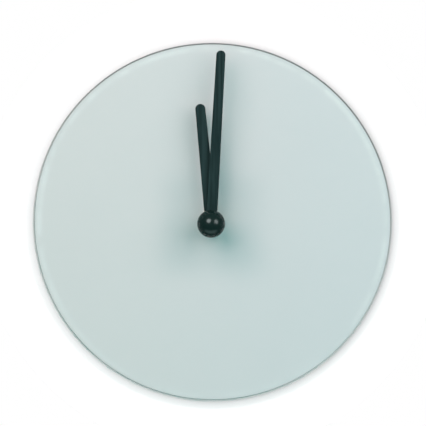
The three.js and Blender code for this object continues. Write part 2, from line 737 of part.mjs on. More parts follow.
function coilBobbin() {
  const flangeHalf = BOBBIN_FLANGE / 2;
  const tube = box([coilX - coilHalf, coilX + coilHalf], ...coreSection(RUNNING_GAP + BOBBIN_WALL));
  const flanges = [-1, 1].map((side) => {
    const inner = coilHalf - BOBBIN_FLANGE_THICKNESS;
    const ends = [coilX + side * inner, coilX + side * coilHalf].sort((a, b) => a - b);
    return box(ends, [coilY - flangeHalf, coilY + flangeHalf], [coilZ - flangeHalf, coilZ + flangeHalf]);
  });
  const passage = box(
    [coilX - coilHalf - PART_GAP, coilX + coilHalf + PART_GAP], ...coreSection(RUNNING_GAP),
  );
  return joined(tube, ...flanges).subtract(passage);
}

function coilWinding() {
  const half = coilHalf - BOBBIN_FLANGE_THICKNESS - SEAT_GAP;
  const geometry = new THREE.CylinderGeometry(
    WINDING_DIAMETER / 2, WINDING_DIAMETER / 2, 2 * half, SHAFT_SIDES,
  );
  geometry.rotateZ(Math.PI / 2);
  geometry.translate(coilX, coilY, coilZ);
  const passage = box(
    [coilX - coilHalf, coilX + coilHalf], ...coreSection(RUNNING_GAP + BOBBIN_WALL + SEAT_GAP),
  );
  return solidOf(geometry).subtract(passage);
}

const magnetBore = arborRadius + SEAT_GAP;
const magnetZ = statorZ + STATOR_THICKNESS / 2 - MAGNET_LENGTH / 2;

const rotorMagnet = () =>
  ring(magnetBore, magnetRadius, magnetZ, magnetZ + MAGNET_LENGTH, SHAFT_SIDES);

const rotorPinion = () =>
  joined(pivotedArbor(arborRadius), pinionFace(rotorPair.pinion, intermediateZ));

// Wheels of the going train
const intermediateWheel = () => joined(
  pivotedArbor(arborRadius),
  wheelFace(rotorPair.wheel, intermediateZ, meshTurn(rotorPair, rotorAt, intermediateAt)),
  pinionFace(secondsPair.pinion, secondsZ),
);

function secondsWheel() {
  const rearEnd = rearShoulder - BOSS_HEIGHT - RUNNING_GAP;
  const bodyEnd = thirdZ + WHEEL_THICKNESS + PINION_OVERHANG;
  const frontEnd = ballZ;
  const arbor = turned([
    [0, rearEnd],
    [pivotRadius, rearEnd],
    [pivotRadius, rearShoulder],
    [arborRadius, rearShoulder],
    [arborRadius, bodyEnd],
    [secondsArborRadius, bodyEnd],
    [secondsArborRadius, frontEnd],
    [0, frontEnd],
  ], PIN_SIDES);
  return joined(
    arbor,
    wheelFace(secondsPair.wheel, secondsZ, meshTurn(secondsPair, intermediateAt, centreAt)),
    pinionFace(thirdPair.pinion, thirdZ),
  );
}

const thirdWheel = () => joined(
  pivotedArbor(arborRadius),
  wheelFace(thirdPair.wheel, thirdZ, meshTurn(thirdPair, centreAt, thirdAt)),
  pinionFace(centrePair.pinion, centreZ),
);

// The centre wheel drives the minute pipe through a spring clutch, which slips when the hands are set.
function centreWheel() {
  const bore = rod(
    minutePipeRadius + RUNNING_GAP, centreZ - PART_GAP, centreZ + WHEEL_THICKNESS + PART_GAP, SHAFT_SIDES,
  );
  return wheelFace(centrePair.wheel, centreZ, meshTurn(centrePair, thirdAt, centreAt)).subtract(bore);
}

const clutchSpring = () => ring(
  minutePipeRadius + SEAT_GAP,
  minutePipeRadius + CLUTCH_SPRING_BAND,
  clutchZ,
  clutchZ + CLUTCH_SPRING_THICKNESS,
  SHAFT_SIDES,
);

// Motion work: minute pipe with its pinion, minute wheel and hour wheel
const pipeRear = thirdZ + WHEEL_THICKNESS + PINION_OVERHANG + RUNNING_GAP;

function minutePipe() {
  const pipe = rod(minutePipeRadius, pipeRear, ballZ, SHAFT_SIDES);
  const bore = rod(minutePipeBore, pipeRear - PART_GAP, ballZ + PART_GAP, PIN_SIDES);
  return joined(pipe, pinionFace(minutePair.pinion, minuteZ)).subtract(bore);
}

const minuteArborRadius = MINUTE_WHEEL_ARBOR_DIAMETER / 2;

function minuteWheel() {
  const arborRear = knobShaftTop - KNOB_SOCKET_DEPTH + RUNNING_GAP;
  const pinionTop = hourZ + WHEEL_THICKNESS + PINION_OVERHANG;
  const pinion = plate(gearShape(hourPair.pinion, 0), minuteZ, pinionTop);
  const arbor = turned([
    [0, arborRear],
    [minuteArborRadius, arborRear],
    [minuteArborRadius, pinionTop],
    [pivotRadius, pinionTop],
    [pivotRadius, frontInner + PIVOT_DEPTH - RUNNING_GAP],
    [0, frontInner + PIVOT_DEPTH - RUNNING_GAP],
  ], PIN_SIDES);
  const wheel = wheelFace(minutePair.wheel, minuteZ, meshTurn(minutePair, centreAt, minuteWheelAt));
  return joined(arbor, wheel, pinion);
}

function hourWheel() {
  const pipe = rod(hourPipeRadius, hourZ, minuteHandZ - HAND_SPACING / 2, SHAFT_SIDES);
  const bore = rod(hourPipeBore, hourZ - PART_GAP, minuteHandZ, SHAFT_SIDES);
  const wheel = wheelFace(hourPair.wheel, hourZ, meshTurn(hourPair, minuteWheelAt, centreAt));
  return joined(pipe, wheel).subtract(bore);
}

function settingKnob() {
  const outline = [];
  const pointsPerFlute = 4;
  const points = KNOB_FLUTES * pointsPerFlute;
  for (let i = 0; i < points; i++) {
    const wave = (1 + Math.cos((i * 2 * Math.PI) / pointsPerFlute)) / 2;
    outline.push(polar(knobRadius - KNOB_FLUTE_DEPTH * wave, (i * 360) / points));
  }
  const grip = plate(new THREE.Shape(outline), SEAT_GAP, knobTop);
  const shaft = rod(knobShaftRadius, knobTop - PART_GAP, knobShaftTop, PIN_SIDES);
  const socket = rod(
    minuteArborRadius + SEAT_GAP, knobShaftTop - KNOB_SOCKET_DEPTH, knobShaftTop + PART_GAP, PIN_SIDES,
  );
  return joined(grip, shaft).subtract(socket);
}

// A hand: a bar with a round tip and softened upper edges, on a round hub with a hole for its pipe.
function hand(length, tipWidth, rootWidth, pipeRadius, z) {
  const tipRadiusFull = tipWidth / 2;
  const outline = (inset) => {
    const tip = tipRadiusFull - inset;
    const root = rootWidth / 2 - inset;
    const shape = new THREE.Shape();
    shape.moveTo(-root, 0);
    shape.lineTo(root, 0);
    shape.absarc(0, length - tipRadiusFull, tip, 0, Math.PI);
    return shape;
  };
  const hubRadius = pipeRadius + HAND_HUB_WALL;
  const top = z + HAND_THICKNESS;
  const lower = joined(plate(outline(0), z, top - HAND_EDGE), rod(hubRadius, z, top - HAND_EDGE, SHAFT_SIDES));
  const upper = joined(
    plate(outline(HAND_EDGE), top - 2 * HAND_EDGE, top),
    rod(hubRadius - HAND_EDGE, top - 2 * HAND_EDGE, top, SHAFT_SIDES),
  );
  const hole = rod(pipeRadius + SEAT_GAP, z - PART_GAP, top + PART_GAP, SHAFT_SIDES);
  return joined(lower, upper).subtract(hole);
}

const hourHand = () =>
  hand(HOUR_HAND_LENGTH, HOUR_TIP_WIDTH, HOUR_ROOT_WIDTH, hourPipeRadius, hourHandZ);

const minuteHand = () =>
  hand(MINUTE_HAND_LENGTH, MINUTE_TIP_WIDTH, MINUTE_ROOT_WIDTH, minutePipeRadius, minuteHandZ);

// A ball with a flat at the back, which closes the end of the minute pipe.
function ballCap() {
  const radius = BALL_DIAMETER / 2;
  const middle = ballZ + SEAT_GAP + BALL_HEIGHT - radius;
  const flatAngle = Math.asin((ballZ + SEAT_GAP - middle) / radius);
  const steps = 2 * ARC_STEPS;
  const profile = [[0, ballZ + SEAT_GAP]];
  for (let i = 0; i < steps; i++) {
    const angle = flatAngle + ((Math.PI / 2 - flatAngle) * i) / steps;
    profile.push([radius * Math.cos(angle), middle + radius * Math.sin(angle)]);
  }
  profile.push([0, middle + radius]);
  return turned(profile, SHAFT_SIDES);
}

// Electrics
function circuitBoard() {
  let board = box([boardLeft, boardRight], [boardBottom, boardTop], [boardZ, boardZ + BOARD_THICKNESS]);
  for (const place of boardPegPlaces) {
    board = board.subtract(pegHole(place, boardZ, boardZ + BOARD_THICKNESS));
  }
  return board;
}

function timerChip() {
  const base = boardZ - SEAT_GAP;
  const radius = CHIP_DIAMETER / 2;
  const profile = [[0, base]];
  for (let i = 0; i <= ARC_STEPS; i++) {
    const angle = (i * Math.PI) / 2 / ARC_STEPS;
    const isPole = i === ARC_STEPS;
    profile.push([isPole ? 0 : radius * Math.cos(angle), base - CHIP_HEIGHT * Math.sin(angle)]);
  }
  const place = new THREE.Vector2(boardMiddle, boardBottom + BOARD_HEIGHT / 3);
  return turned(profile, PIN_SIDES, place);
}

function quartzCrystal() {
  const radius = CRYSTAL_DIAMETER / 2;
  const geometry = new THREE.CylinderGeometry(radius, radius, CRYSTAL_LENGTH, PIN_SIDES);
  geometry.translate(
    boardMiddle, boardBottom + BOARD_HEIGHT / 2 + CRYSTAL_LENGTH / 2, boardZ - SEAT_GAP - radius,
  );
  return solidOf(geometry);
}

// A flat strip on the bay's ceiling, up through the partition and on to the circuit board.
const ceiling = [bayTop - BAY_CLEARANCE - CONTACT_THICKNESS, bayTop - BAY_CLEARANCE];
const stripDepth = [stripZ, stripZ + CONTACT_STRIP_WIDTH];
const tailDepth = [boardZ - PART_GAP - CONTACT_THICKNESS, boardZ - PART_GAP];
const floorRun = [chamberBottom + PART_GAP, chamberBottom + PART_GAP + CONTACT_THICKNESS];
const boardOverlap = boardBottom + CONTACT_STRIP_WIDTH;

const contactTakes = CONTACT_THICKNESS + SEAT_GAP + BAY_CLEARANCE;
const batteryX = CONTACT_SPACE - contactTakes;

function positiveContact() {
  const outer = insideHalf - SEAT_GAP;
  const half = CONTACT_PLATE_WIDTH / 2;
  const tailLeft = boardRight - 2 * CONTACT_STRIP_WIDTH;
  return joined(
    box([outer - CONTACT_THICKNESS, outer], [batteryY - half, ceiling[1]], [batteryZ - half, stripDepth[1]]),
    box([stripInner, outer], ceiling, stripDepth),
    box([stripInner, stripOuter], [ceiling[0], floorRun[1]], [stripZ, stripZ + CONTACT_THICKNESS]),
    box([tailLeft, stripOuter], floorRun, stripDepth),
    box([tailLeft, tailLeft + CONTACT_STRIP_WIDTH], [floorRun[0], boardOverlap], tailDepth),
  );
}

function negativeContact() {
  const outer = SEAT_GAP - insideHalf;
  const half = CONTACT_PLATE_WIDTH / 2;
  const bulge = 2 * (CONTACT_SPACE - contactTakes);
  const leaf = new THREE.Shape();
  leaf.moveTo(-half, 0);
  leaf.quadraticCurveTo(0, 2 * bulge, half, 0);
  leaf.lineTo(half, CONTACT_THICKNESS);
  leaf.quadraticCurveTo(0, 2 * bulge + CONTACT_THICKNESS, -half, CONTACT_THICKNESS);
  const geometry = new THREE.ExtrudeGeometry(leaf, {
    depth: CONTACT_PLATE_WIDTH,
    bevelEnabled: false,
    curveSegments: ARC_STEPS,
  });
  const alongDepth = new THREE.Vector3(0, 0, 1);
  const towardsCell = new THREE.Vector3(1, 0, 0);
  const upwards = new THREE.Vector3(0, 1, 0);
  geometry.applyMatrix4(new THREE.Matrix4().makeBasis(alongDepth, towardsCell, upwards));
  geometry.translate(outer, batteryY - half, batteryZ);
  const riserDepth = [batteryZ + half - CONTACT_STRIP_WIDTH, stripDepth[1]];
  return joined(
    solidOf(geometry),
    box([outer, outer + CONTACT_THICKNESS], [batteryY, ceiling[1]], riserDepth),
    box([outer, -stripInner], ceiling, stripDepth),
    box([-stripOuter, -stripInner], [ceiling[0], boardOverlap], tailDepth),
  );
}

function batteryCell() {
  const half = BATTERY_LENGTH / 2;
  const bodyEnd = half - BATTERY_NUB_LENGTH;
  const nub = BATTERY_NUB_DIAMETER / 2;
  const points = [
    [0, -half],
    [batteryRadius - BATTERY_EDGE, -half],
    [batteryRadius, BATTERY_EDGE - half],
    [batteryRadius, bodyEnd - BATTERY_EDGE],
    [batteryRadius - BATTERY_EDGE, bodyEnd],
    [nub, bodyEnd],
    [nub, half],
    [0, half],
  ].map(([radius, along]) => new THREE.Vector2(radius, along));
  const geometry = new THREE.LatheGeometry(points, SHAFT_SIDES);
  geometry.rotateZ(-Math.PI / 2);
  geometry.translate(batteryX, batteryY, batteryZ);
  return solidOf(geometry);
}

// A named piece of the clock, turned about its own shaft where it has one.
function piece(name, solid, material, at = centreAt, clockwise = 0) {
  const { numProp, numVert, vertProperties, triVerts } = solid.getMesh();
  const positions = new Float32Array(numVert * 3);
  for (let i = 0; i < numVert; i++) {
    positions.set(vertProperties.subarray(i * numProp, i * numProp + 3), i * 3);
  }
  const geometry = new THREE.BufferGeometry();
  geometry.setAttribute("position", new THREE.BufferAttribute(positions, 3));
  geometry.setIndex(new THREE.BufferAttribute(triVerts, 1));
  geometry.computeVertexNormals();
  const mesh = new THREE.Mesh(geometry, material);
  mesh.name = name;
  mesh.position.set(at.x, at.y, 0);
  mesh.rotation.z = -radians(clockwise);
  return mesh;
}

const face = new THREE.Group().add(
  piece("glass_disc", glassDisc(), finishes.glass),
  piece("white_back_coat", backCoat(), finishes.coat),
  piece("rubber_gasket", gasket(), finishes.rubber),
  piece("clamp_washer", washer(), finishes.brass),
  piece("hex_nut", hexNut(), finishes.brass),
  piece("threaded_bush", threadedBush(), finishes.brass),
);

const hands = new THREE.Group().add(
  piece("hour_hand", hourHand(), finishes.handBlack, centreAt, HOUR_HAND_ANGLE),
  piece("minute_hand", minuteHand(), finishes.handBlack, centreAt, MINUTE_HAND_ANGLE),
  piece("ball_cap", ballCap(), finishes.ballBlack),
);

const housing = new THREE.Group().add(
  piece("movement_case", movementCase(), finishes.caseBlack),
  piece("rear_cover", rearCover(), finishes.caseBlack),
  piece("gear_bridge", gearBridge(), finishes.caseBlack),
);

const motor = new THREE.Group().add(
  piece("stator_plate", statorPlate(), finishes.steel),
  piece("coil_core", coilCore(), finishes.steel),
  piece("coil_bobbin", coilBobbin(), finishes.bobbin),
  piece("coil_winding", coilWinding(), finishes.copper),
  piece("rotor_magnet", rotorMagnet(), finishes.magnet, rotorAt),
  piece("rotor_pinion", rotorPinion(), finishes.gearWhite, rotorAt),
);

const goingTrain = new THREE.Group().add(
  piece("intermediate_wheel", intermediateWheel(), finishes.gearWhite, intermediateAt),
  piece("seconds_wheel", secondsWheel(), finishes.gearWhite),
  piece("third_wheel", thirdWheel(), finishes.gearWhite, thirdAt),
  piece("centre_wheel", centreWheel(), finishes.gearWhite),
);

const motionWork = new THREE.Group().add(
  piece("clutch_spring", clutchSpring(), finishes.nickel),
  piece("minute_pipe", minutePipe(), finishes.brass),
  piece("minute_wheel", minuteWheel(), finishes.gearWhite, minuteWheelAt),
  piece("hour_wheel", hourWheel(), finishes.gearWhite),
  piece("setting_knob", settingKnob(), finishes.caseBlack, minuteWheelAt),
);

const electrics = new THREE.Group().add(
  piece("circuit_board", circuitBoard(), finishes.board),
  piece("timer_chip", timerChip(), finishes.epoxy),
  piece("quartz_crystal", quartzCrystal(), finishes.nickel),
  piece("positive_contact", positiveContact(), finishes.nickel),
  piece("negative_contact", negativeContact(), finishes.nickel),
  piece("battery_cell", batteryCell(), finishes.battery),
);

const clock = new THREE.Group().add(face, hands, housing, motor, goingTrain, motionWork, electrics);
clock.name = "glass_wall_clock";
clock.rotation.x = Math.PI / 2;

export default clock;
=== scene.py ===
# Round glass wall clock: its pieces and their finishes, the stage, the light and the camera.
import json
import math

import bmesh
import bpy
from mathutils import Matrix, Vector

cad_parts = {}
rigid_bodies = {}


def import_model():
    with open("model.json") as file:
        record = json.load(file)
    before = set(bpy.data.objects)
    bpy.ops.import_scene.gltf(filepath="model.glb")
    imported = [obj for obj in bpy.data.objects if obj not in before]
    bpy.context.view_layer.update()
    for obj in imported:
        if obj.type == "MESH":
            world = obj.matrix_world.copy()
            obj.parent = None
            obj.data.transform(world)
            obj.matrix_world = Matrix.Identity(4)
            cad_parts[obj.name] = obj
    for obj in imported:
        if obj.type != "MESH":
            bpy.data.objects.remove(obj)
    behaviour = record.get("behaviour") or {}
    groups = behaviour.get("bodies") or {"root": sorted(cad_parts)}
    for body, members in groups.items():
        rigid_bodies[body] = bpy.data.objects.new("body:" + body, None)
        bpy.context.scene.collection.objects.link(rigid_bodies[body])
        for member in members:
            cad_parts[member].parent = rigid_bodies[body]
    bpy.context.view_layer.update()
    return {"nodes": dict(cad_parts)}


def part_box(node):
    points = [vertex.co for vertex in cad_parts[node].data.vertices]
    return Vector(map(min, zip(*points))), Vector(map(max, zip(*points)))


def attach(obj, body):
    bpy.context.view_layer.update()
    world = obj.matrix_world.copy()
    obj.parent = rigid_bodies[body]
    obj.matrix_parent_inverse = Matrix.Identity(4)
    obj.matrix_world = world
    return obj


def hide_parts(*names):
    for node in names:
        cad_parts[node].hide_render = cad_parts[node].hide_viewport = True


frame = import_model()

nodes = frame["nodes"]

MM = 0.001
FULL_TURN = 2 * math.pi

# Pieces are drawn in millimetres as the dial is read: right, up, and depth from the wall to the viewer.
DIAL = Matrix(((MM, 0, 0, 0), (0, 0, -MM, 0), (0, MM, 0, 0), (0, 0, 0, 1)))

# Rounded edges: the reach of the flats beside a bend, and the most of a side that a bend takes
FLAT_GUARD = 1.15
BEND_SHARE = 0.4

# Hands: their widths are at the tip and at the hub
MINUTE_WIDTHS = (5.05, 6.1)
HOUR_WIDTHS = (5.55, 6.9)
HAND_EDGE = 0.42
HAND_HUB_WALL = 1.65

# Ball: its lip's widths are at the face and at the foot, and its heel is an angle
BALL_RECESS = 0.4
BALL_LIP = (0.8, 1.0)
BALL_HEEL = 0.08
BALL_STEPS = 60
BALL_SIDES = 120

# Glass and coat
DIAL_SIDES = 288
GLASS_BORE_EDGE = 0.3
GLASS_CHAMFER = 0.8
CHAMFER_EDGES = (0.15, 0.25)
COAT_EDGE = 0.08

# Clamp
RING_SIDES = 96
GASKET_EDGE = 0.3
WASHER_EDGE = 0.12
NUT_SIDES = 144
NUT_FACING = 0.8
NUT_SLOPE = 0.5
NUT_LAND = 0.02
NUT_EDGE = 0.1
NUT_BORE_EDGES = (0.15, 0.25)
BUSH_SIDES = 72
BUSH_PLAY = 0.1
BUSH_FLANGE = 0.45
THREAD_HEIGHT = 0.22
THREAD_PITCH = 0.5
THREAD_MARGINS = (0.5, 0.3)

# Moulded and stamped pieces
MOULDED_EDGE = 0.27
STRIP_EDGE = 0.08
LOOP_DEPTH = 3
SHARP_ANGLE = math.radians(40)
FLAT_ANGLE = math.radians(1)

# Marks sunk into the rear cover
MARK_DEPTH = 0.4
MARK_EDGE = 0.1
MARK_WIDTH = 0.7
MARK_LENGTH = 3.2
ARROW_GAP = 2.4
ARROW_HEAD = 1.1
LEFT_ARROW = (math.radians(100), math.radians(160))
RIGHT_ARROW = (math.radians(80), math.radians(20))
FRAME_INSET = 2.2
SIGN_INSET = (5.4, 5.0)

# Coil
WIRE_DIAMETER = 0.3
WIRE_TOUCH = 0.52

# Setting knob: its rim's widths are at the face and at the foot
KNOB_SIDES = 96
KNOB_RIDGES = 30
RIDGE_RADIUS = 0.3
RIDGE_MARGIN = 0.4
KNOB_DISH = 0.45
KNOB_RIM = (0.9, 1.3)
KNOB_GRIP_THICKNESS = 1.9
KNOB_SHAFT_RADIUS = 1.2
KNOB_SOCKET_RADIUS = 0.8
KNOB_SOCKET_DEPTH = 2

# Battery: its printed bands and signs are placed by shares of its length
CELL_SIDES = 120
CELL_BASE_DISH = 0.25
CELL_BASE_RIM = (1.9, 2.2)
CELL_SLEEVE_LIP = 1.1
CELL_SLEEVE_ENDS = (0.12, 0.3)
CELL_SLEEVE_CURL = 0.5
CELL_NUB_RADIUS = 2.75
CELL_NUB_LENGTH = 1.3
CELL_BAND = 0.742
CELL_LINE = (0.728, 0.738)
CELL_PLUS = 0.86
CELL_MINUS = 0.1
CELL_SIGN = (0.5, 2.0)

# Stage
CARD_DEPTH = 16.6
CARD_RADIUS = 130
CARD_GAP = 1.5
CARD_WHITE = (103, 111)
CARD_SHADE = 0.44
CARD_SHADE_WIDTH = 1.7
CARD_SHADE_CENTRE = (0.4, -0.5)
FLOOR_DROP = 400
FLOOR_HALF = 1500
FLOOR_WHITE = (450, 900)

# Fill light from the front, as it lights and as it is mirrored, and from the rear
FILL_SOFT = (0.0, 0.384, 0.364)
FILL_MIRRORED = (0.15, 0.28, 0.27)
FILL_REAR = (0.55, 0.55, 0.55)

# Camera, in the photograph's square frame
FRAME_PIXELS = 426
SENSOR = 36
CAMERA_AZIMUTH = 2.1
CAMERA_ELEVATION = 2.9
CAMERA_DISTANCE = 1500
DISC_PIXELS = 179.3
DISC_AT = (211.45, 222.1)


class Socket:
    """One output in a node tree. Arithmetic on it adds Math nodes."""

    def __init__(self, web, socket):
        self.web = web
        self.socket = socket

    def other(self, output):
        return Socket(self.web, self.socket.node.outputs[output])

    def math(self, operation, first, second=0.0):
        return self.web.node("ShaderNodeMath", {"operation": operation}, {0: first, 1: second})

    def __add__(self, value):
        return self.math("ADD", self, value)

    def __radd__(self, value):
        return self.math("ADD", value, self)

    def __sub__(self, value):
        return self.math("SUBTRACT", self, value)

    def __rsub__(self, value):
        return self.math("SUBTRACT", value, self)

    def __mul__(self, value):
        return self.math("MULTIPLY", self, value)

    def __rmul__(self, value):
        return self.math("MULTIPLY", value, self)

    def __truediv__(self, value):
        return self.math("DIVIDE", self, value)

    def __rtruediv__(self, value):
        return self.math("DIVIDE", value, self)

    def __pow__(self, value):
        return self.math("POWER", self, value)

    def __rpow__(self, value):
        return self.math("POWER", value, self)

    def __abs__(self):
        return self.math("ABSOLUTE", self)

    def most(self, value):
        return self.math("MAXIMUM", self, value)

    def sine(self):
        return self.math("SINE", self)


class Web:
    """A node tree in which every node is added in one way: its type, its settings, then its inputs."""

    def __init__(self, tree):
        self.tree = tree

    def node(self, kind, settings=None, inputs=None, output=0):
        made = self.tree.nodes.new(kind)
        for key, value in (settings or {}).items():
            setattr(made, key, value)
        for key, value in (inputs or {}).items():
            if isinstance(value, Socket):
                self.tree.links.new(value.socket, made.inputs[key])
            else:
                made.inputs[key].default_value = value
        return Socket(self, made.outputs[output]) if len(made.outputs) else None

    def step(self, low, high, value):
        """0 below low, 1 above high, and a smooth rise between."""
        return self.node(
            "ShaderNodeMapRange",
            {"interpolation_type": "SMOOTHSTEP"},
            {"Value": value, "From Min": low, "From Max": high},
            "Result",
        )

    def mix(self, share, first, second, way="MIX"):
        """A colour between two colours."""
        pair = {
            key: value if isinstance(value, Socket) else (*value, 1)
            for key, value in ((6, first), (7, second))
        }
        return self.node(
            "ShaderNodeMix",
            {"data_type": "RGBA", "blend_type": way, "clamp_factor": True},
            {0: share, **pair},
            2,
        )


class Finish(Web):
    """A material that reads the piece's own coordinates, in millimetres."""

    def __init__(self, name):
        self.material = bpy.data.materials.new(name)
        self.material.use_nodes = True
        super().__init__(self.material.node_tree)
        self.tree.nodes.clear()
        metres = self.node("ShaderNodeTexCoord", output="Object")
        self.place = self.node(
            "ShaderNodeVectorMath", {"operation": "SCALE"}, {0: metres, "Scale": 1 / MM}
        )
        self.right = self.node("ShaderNodeSeparateXYZ", {}, {0: self.place}, "X")
        self.back = self.right.other("Y")
        self.up = self.right.other("Z")

    def noise(self, grain, detail=2, rough=0.5, stretch=(1, 1, 1), shift=0):
        """Noise with patches about `grain` millimetres wide, drawn out along each axis by `stretch`."""
        scale = [1 / (grain * length) for length in stretch]
        place = self.node(
            "ShaderNodeMapping",
            {},
            {"Vector": self.place, "Scale": scale, "Location": (shift, shift, shift)},
        )
        return self.node(
            "ShaderNodeTexNoise",
            {"noise_dimensions": "3D"},
            {"Vector": place, "Scale": 1, "Detail": detail, "Roughness": rough},
            "Fac",
        )

    def cells(self, grain):
        """Cells about `grain` millimetres wide, as the distance from each one's middle."""
        return self.node(
            "ShaderNodeTexVoronoi",
            {"feature": "F1"},
            {"Vector": self.place, "Scale": 1 / grain},
            "Distance",
        )

    def radius(self, centre=(0, 0)):
        """Distance from an axis through the dial, in millimetres."""
        across = self.right - centre[0]
        along = self.up - centre[1]
        return (across * across + along * along) ** 0.5

    def surface(self, color, roughness, height, depth, constants=None):
        """The material of a surface that `height` raises by up to `depth` millimetres."""
        bumps = self.node(
            "ShaderNodeBump", {}, {"Height": height, "Strength": 1.0, "Distance": depth * MM}
        )
        inputs = {"Base Color": color, "Roughness": roughness, "Normal": bumps, **(constants or {})}
        return self.done(self.node("ShaderNodeBsdfPrincipled", {}, inputs, "BSDF"))

    def done(self, shader):
        self.node("ShaderNodeOutputMaterial", {}, {"Surface": shader})
        return self.material


# Finishes of the dial
def glass_constants(transmission):
    return {"IOR": 1.52, "Transmission Weight": transmission}


def clear_glass():
    finish = Finish("clear_float_glass")
    ripple = finish.noise(45, 1)
    wiped = finish.noise(9, 3, 0.6, (2.5, 1, 1))
    color = finish.mix(ripple, (0.965, 0.995, 0.985), (0.975, 1.0, 0.99))
    roughness = 0.008 + 0.02 * finish.step(0.5, 0.8, wiped)
    return finish.surface(color, roughness, ripple, 0.01, glass_constants(1.0))


def ground_glass(front):
    """The ground rim. Its front bevel carries painted shade towards the top and painted light towards the
    bottom.
    """
    finish = Finish("ground_glass_edge")
    grind = finish.noise(0.35, 3, 0.6, (1, 3, 1))
    nicks = finish.step(0.62, 0.75, finish.noise(2.2, 2))
    color = finish.mix(grind, (0.26, 0.31, 0.30), (0.38, 0.44, 0.43))
    bevel = finish.step(front - GLASS_CHAMFER - 0.1, front - GLASS_CHAMFER + 0.1, -1 * finish.back)
    height = finish.step(-90, 90, finish.up + 0.3 * finish.right)
    # Painted light and shade: the bevel is darkened towards the top and lightened towards the bottom.
    painted_edge_light_and_shade = finish.mix(height, (2.4, 2.0, 2.0), (0.3, 0.27, 0.27))
    color = finish.mix(bevel, color, finish.mix(1.0, color, painted_edge_light_and_shade, "MULTIPLY"))
    roughness = 0.28 + 0.16 * grind + 0.1 * nicks
    return finish.surface(color, roughness, grind, 0.02, glass_constants(0.8))


def dial_paint():
    finish = Finish("dial_coat_paint")
    radius = finish.radius()
    cloud = finish.noise(42, 2, 0.5, shift=11)
    patchy = finish.noise(11, 2, 0.55, shift=3)
    speck = finish.noise(0.5, 2, shift=7)
    tone = finish.mix(cloud, (0.604, 0.666, 0.672), (0.618, 0.680, 0.686))
    tone = finish.mix(0.2 * speck, tone, (0.635, 0.70, 0.70))
    # The coat is drawn a little greener and redder on the left and bluer on the right.
    lean = finish.mix(finish.step(-100, 100, finish.right), (1.025, 1.0, 0.985), (0.995, 1.0, 1.01))
    tone = finish.mix(1.0, tone, lean, "MULTIPLY")
    # Painted shade: the coat is darkened over a soft square where the movement sits behind it.
    across = 1 - finish.step(17, 37, abs(finish.right))
    along = 1 - finish.step(17, 36, abs(finish.up + 1))
    painted_movement_shade = finish.mix(across * along, (1, 1, 1), (0.88, 0.925, 0.927))
    tone = finish.mix(1.0, tone, painted_movement_shade, "MULTIPLY")
    # Light that enters through the edge brightens the outermost band.
    rim = finish.step(94.0, 97.0, radius) * (1 - finish.step(97.2, 98.8, radius))
    rim = rim * (0.25 + 0.5 * finish.step(-100, 40, finish.up))
    tone = finish.mix(rim * finish.step(0.2, 0.65, patchy), tone, (0.72, 0.79, 0.785))
    return finish.surface(tone, 0.55 + 0.1 * patchy, speck, 0.006, {"Specular IOR Level": 0.06})


def coat_back_paint():
    finish = Finish("coat_back_paint")
    roller = finish.noise(1.6, 3, 0.6)
    sweep = finish.noise(26, 2, 0.5, (3, 1, 1))
    tone = finish.mix(sweep, (0.70, 0.72, 0.71), (0.78, 0.79, 0.78))
    tone = finish.mix(0.3 * finish.step(0.55, 0.7, roller), tone, (0.64, 0.66, 0.65))
    return finish.surface(tone, 0.62 + 0.12 * roller, roller, 0.03)


def hand_paint():
    finish = Finish("satin_black_paint")
    grain = finish.noise(0.22, 2, 0.6)
    drawn = finish.noise(1.3, 3, 0.6, (1, 1, 30))
    tone = finish.mix(finish.step(0.3, 0.7, drawn), (0.003, 0.016, 0.016), (0.014, 0.037, 0.037))
    return finish.surface(tone, 0.42 + 0.14 * drawn, grain, 0.004, {"Specular IOR Level": 0.06})


def ball_gloss():
    finish = Finish("gloss_black_ball")
    haze = finish.noise(3.2, 3, 0.55)
    dust = finish.step(0.66, 0.74, finish.noise(0.35, 2, shift=5))
    tone = finish.mix(0.5 * dust, (0.0050, 0.0160, 0.0145), (0.011, 0.025, 0.023))
    roughness = 0.18 + 0.06 * haze + 0.05 * dust
    return finish.surface(tone, roughness, haze, 0.004, {"Specular IOR Level": 0.18})


# Finishes of the clamp and the movement
def rubber():
    finish = Finish("black_rubber")
    grain = finish.noise(0.3, 3, 0.6)
    bloom = finish.noise(5, 2)
    tone = finish.mix(bloom, (0.016, 0.016, 0.017), (0.034, 0.034, 0.034))
    return finish.surface(tone, 0.74 + 0.14 * grain, grain, 0.02)


def turned_brass():
    finish = Finish("turned_brass")
    lathe_lines = (finish.radius() * (FULL_TURN / 0.16)).sine()
    tarnish = finish.noise(2.4, 3, 0.6)
    tone = finish.mix(tarnish, (0.70, 0.49, 0.20), (0.83, 0.65, 0.34))
    roughness = 0.24 + 0.2 * tarnish
    return finish.surface(tone, roughness, lathe_lines, 0.003, {"Metallic": 1.0})


def moulded_black():
    finish = Finish("moulded_black_plastic")
    spark = finish.noise(0.4, 3, 0.65)
    flow = finish.noise(14, 2, 0.5, (1, 1, 2.2))
    rubbed = finish.step(0.52, 0.72, finish.noise(4.5, 3, 0.6, shift=2))
    tone = finish.mix(flow, (0.0085, 0.0090, 0.0098), (0.0190, 0.0195, 0.0205))
    tone = finish.mix(0.4 * rubbed, tone, (0.030, 0.030, 0.031))
    roughness = 0.40 + 0.2 * spark - 0.08 * rubbed
    return finish.surface(tone, roughness, spark, 0.03)


def nickel():
    finish = Finish("nickel_strip")
    rolled = finish.noise(0.5, 3, 0.6, (14, 1, 1))
    stain = finish.noise(3.5, 2)
    tone = finish.mix(stain, (0.60, 0.58, 0.53), (0.72, 0.70, 0.65))
    return finish.surface(tone, 0.2 + 0.22 * rolled, rolled, 0.004, {"Metallic": 1.0})


